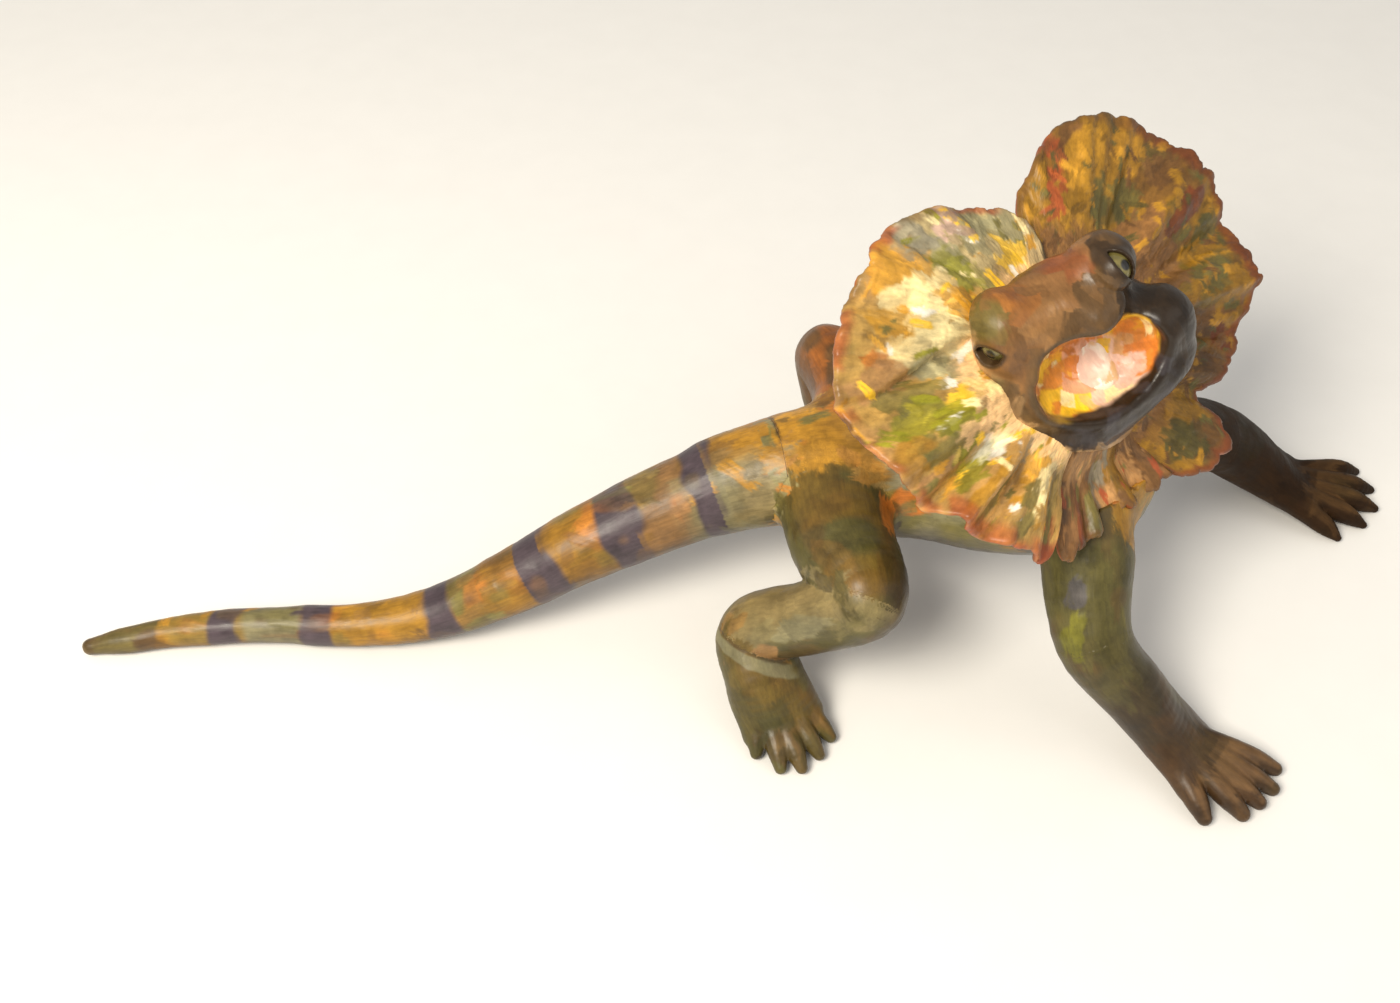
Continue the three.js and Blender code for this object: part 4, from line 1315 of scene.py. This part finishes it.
def paint_right(canvas, angle, radius, share, front):
    """Cream, gold and green, brushed outwards, with rust on the rim."""
    canvas.wash(GOLD * 0.6 + SAGE * 0.35)
    canvas.wash(SAGE * 1.05 + PEACH * 0.2, smooth(angle + 12 * canvas.noise(12, 137), -50, -30) * 0.75)
    canvas.blot(TAN * 0.95, 11, 131, 0.0, 0.4, 0.5)
    canvas.blot(OLIVE * 0.9, 10, 132, 0.25, 0.5, 0.5)
    frill_dabs(canvas, "frill_right", RIGHT_DABS, 140, 0.82)
    peach_to = 34 + 12 * smooth(angle, -45, -65) * smooth(angle, -112, -98)
    peach = smooth(radius + 3 * canvas.noise(8, 133) - peach_to, 4, -4)
    canvas.wash(PEACH * 1.15 + CREAM * 0.12, peach * 0.9)
    canvas.brushwork(front * 0.95, 900, (2, 6), (0.8, 2.1), 28, vary=0.22, lift=0.35, turn=0.5,
                     accents=(YELLOW, CREAM, WHITE, GOLD, OLIVE, MOSS), share=0.2)
    edge = share + 0.03 * canvas.noise(5, 134)
    rim = smooth(edge, 0.94, 0.98)
    canvas.blot(RUST * 0.7, 9, 135, -0.2, 0.3, rim * 0.75)
    canvas.blot(BROWN, 9, 135, 0.0, -0.5, rim * 0.6)
    # Painted shadow: a dark strip along the nape edge, where this panel lies over the left one.
    canvas.wash(BARK * 0.6, smooth(angle + 2 * canvas.noise(5, 138), 8.5, 11) * 0.9)
    canvas.blot(RUST * 0.8, 7, 136, -0.1, 0.3, smooth(angle, -84, -92) * smooth(edge, 0.89, 0.94) * 0.65)
    paint_back(canvas, share, front)


def paint_left(canvas, angle, radius, share, front):
    """Darker mustard, brown and olive, with a brick rim."""
    canvas.wash(MUSTARD * 0.7)
    canvas.blot(BROWN * 0.9, 12, 231, 0.0, 0.4, 0.7)
    canvas.blot(OLIVE * 0.6, 9, 232, 0.2, 0.5, 0.6)
    frill_dabs(canvas, "frill_left", LEFT_DABS, 240, 0.88)
    canvas.wash(TAN * 0.4 + ORANGE * 0.14, smooth(radius + 3 * canvas.noise(8, 233), 46, 38) * 0.85)
    canvas.brushwork(front * 0.95, 1000, (1.8, 5), (0.8, 2.0), 29, vary=0.2, lift=0.4, turn=0.7,
                     accents=(MUSTARD, OLIVE * 0.6, GOLD * 0.7, BROWN), share=0.28)
    edge = share + 0.03 * canvas.noise(6, 234)
    canvas.wash(BRICK * 0.8, smooth(edge, 0.92, 0.97) * smooth(angle, 45, 60) * 0.8)
    canvas.wash(BROWN, smooth(edge, 0.94, 0.985) * smooth(angle, 60, 45) * 0.6)
    paint_back(canvas, share, front)


def paint_throat(canvas, angle, radius, share, front):
    canvas.wash(BROWN * 1.2)
    canvas.blot(TAN * 0.8, 9, 331, -0.1, 0.4, 0.8)
    frill_dabs(canvas, "frill_throat", THROAT_DABS, 340, 0.88)
    canvas.wash(TAN * 0.7, smooth(radius, 34, 28) * 0.8)
    canvas.brushwork(front * 0.95, 300, (3, 7), (0.7, 1.6), 30, vary=0.24, lift=0.3, turn=0.2,
                     accents=(RUST * 0.8, OLIVE, TAN, BROWN), share=0.25)
    canvas.wash(BROWN * 0.9, smooth(share + 0.03 * canvas.noise(5, 332), 0.93, 0.98) * 0.7)
    paint_back(canvas, share, front)


def paint_back(canvas, share, front):
    """The back of a panel: plain brown and olive, brushed outwards, with the rim's rust carried round."""
    back = ~front
    canvas.wash(OLIVE * 0.8, back * 0.97)
    canvas.blot(BROWN, 12, 411, 0.0, 0.4, back * 0.8)
    canvas.blot(OCHRE * 0.7, 9, 412, 0.2, 0.5, back * 0.7)
    canvas.wash(RUST * 0.7, back * smooth(share, 0.9, 0.97) * 0.8)
    canvas.brushwork(back * 0.9, 260, (4, 11), (1.2, 3), 31, vary=0.2, lift=0.15, turn=0.2,
                     accents=(OLIVE, OCHRE, BROWN), share=0.2)


FRILL_PAINTERS = {"frill_right": paint_right, "frill_left": paint_left, "frill_throat": paint_throat}

# ---------------------------------------------------------------- making it all


def leg_pieces(name, leg):
    # The left arm takes the material made for its painted shade.
    look = "shaded_paint" if name == "front_left" else "limb_paint"
    ends = [0, *leg["joints"], len(leg["spine"]) - 1]
    for i, piece in enumerate(leg["pieces"]):
        stations = leg["spine"][ends[i]:ends[i + 1] + 1]
        bars = [LEG_BARS[name]]
        if i == len(leg["pieces"]) - 1:
            stations = [*stations, *[[x, y, 4, 6, 6] for x, y in leg["tips"]]]  # room for the digits too
            bars.extend(DIGIT_BARS[name])
        points, faces = skin(*room(stations), LEG_VOXEL, leg_field(name, i))
        yield carved(piece, points, faces, bar_grain(*bars), "limb_paint", look)


def carve():
    bare = dowel_wood()
    points, faces = skin(*room([*TRUNK, *NECK]), VOXEL, torso_field)
    torso = carved("torso", points, faces, bar_grain(trunk_bar, neck_bar), "body_paint")
    points, faces = skin(*room(TAIL), VOXEL, tail_field)
    tail = carved("tail", points, faces, bar_grain(tail_bar), "tail_paint", body="tail")
    pieces = [torso, tail]
    for name, leg in LEGS.items():
        pieces.extend(leg_pieces(name, leg))
    paint_over(pieces, paint_body)
    saw(tail, TAIL_SEAM + TAIL_AXIS * SAWN, -TAIL_AXIS, bare)
    saw(torso, TAIL_SEAM - TAIL_AXIS * SAWN, TAIL_AXIS, bare)
    points, faces = skin(HEAD_PLACE - HEAD_ROOM[0], HEAD_PLACE + HEAD_ROOM[1], HEAD_VOXEL, head_field)
    paint_over([carved("head", points, faces, head_grain, "head_paint")], paint_head)
    tongue_piece()
    for name, eye in EYES.items():
        eye_piece(name, eye)
    for seed, name in enumerate(FRILL_RIMS, 5):
        frill_piece(name, seed)


def finish_frame_nodes():
    """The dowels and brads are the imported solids, with bare wood and steel on them."""
    wood, steel = dowel_wood(), brad_steel()
    for name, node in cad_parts.items():
        if name.endswith("_peg") or "_peg_" in name:
            node.material_slots[0].material = wood
        elif "_brad_" in name:
            node.material_slots[0].material = steel


def floor():
    """A white table top, 8 m across."""
    bpy.ops.mesh.primitive_plane_add(size=8)
    plane = bpy.context.object
    plane.name = "floor"
    dark, light = (0.86, 0.855, 0.845), (0.9, 0.895, 0.885)
    plane.data.materials.append(two_toned("floor_paper", "ShaderNodeTexNoise", dark, light, 0.9,
                                          place="Generated", scale=400.0, detail=3.0))


def hold(name, data, place, direction):
    """Puts a lamp or camera in the scene, pointing along a direction with its top up."""
    holder = bpy.data.objects.new(name, data)
    holder.location = place
    holder.rotation_euler = Vector(direction).to_track_quat("-Z", "Y").to_euler()
    bpy.context.scene.collection.objects.link(holder)
    return holder


def lights():
    """A warm key lamp up on the camera's left, a weak fill on its right and an even white room."""
    world = bpy.data.worlds.new("studio")
    world.use_nodes = True
    room_light = world.node_tree.nodes["Background"]
    room_light.inputs["Color"].default_value = (1.0, 0.97, 0.92, 1)
    room_light.inputs["Strength"].default_value = 0.48
    bpy.context.scene.world = world
    middle = np.array([0.02, 0.0, 0.07])
    for name, place, size, power, colour in (
        ("key", (-0.55, -0.65, 1.0), 0.5, 19, (1.0, 0.92, 0.78)),
        ("fill", (0.9, -0.5, 0.9), 0.9, 2.0, (1.0, 0.95, 0.88)),
    ):
        light = bpy.data.lights.new(name, "AREA")
        light.size = size
        light.energy = power
        light.color = colour
        hold(name, light, place, middle - place)


CAMERA_DISTANCE = 554 * MM
CAMERA_ELEVATION = math.radians(48)
FIELD_OF_VIEW = math.radians(52)


def camera():
    """A phone held in front of the lizard's right side, looking down."""
    target = (np.array([0.0, 0, 20]) + BENCH_SHIFT) * MM
    target[2] = 20 * MM
    back = np.array([0, -math.cos(CAMERA_ELEVATION), math.sin(CAMERA_ELEVATION)])
    data = bpy.data.cameras.new("camera")
    data.sensor_width = 36
    data.lens = data.sensor_width / 2 / math.tan(FIELD_OF_VIEW / 2)
    bpy.context.scene.camera = hold("camera", data, target + back * CAMERA_DISTANCE, -back)


camera()
floor()
lights()
carve()
finish_frame_nodes()
bpy.context.scene.view_settings.view_transform = "Standard"
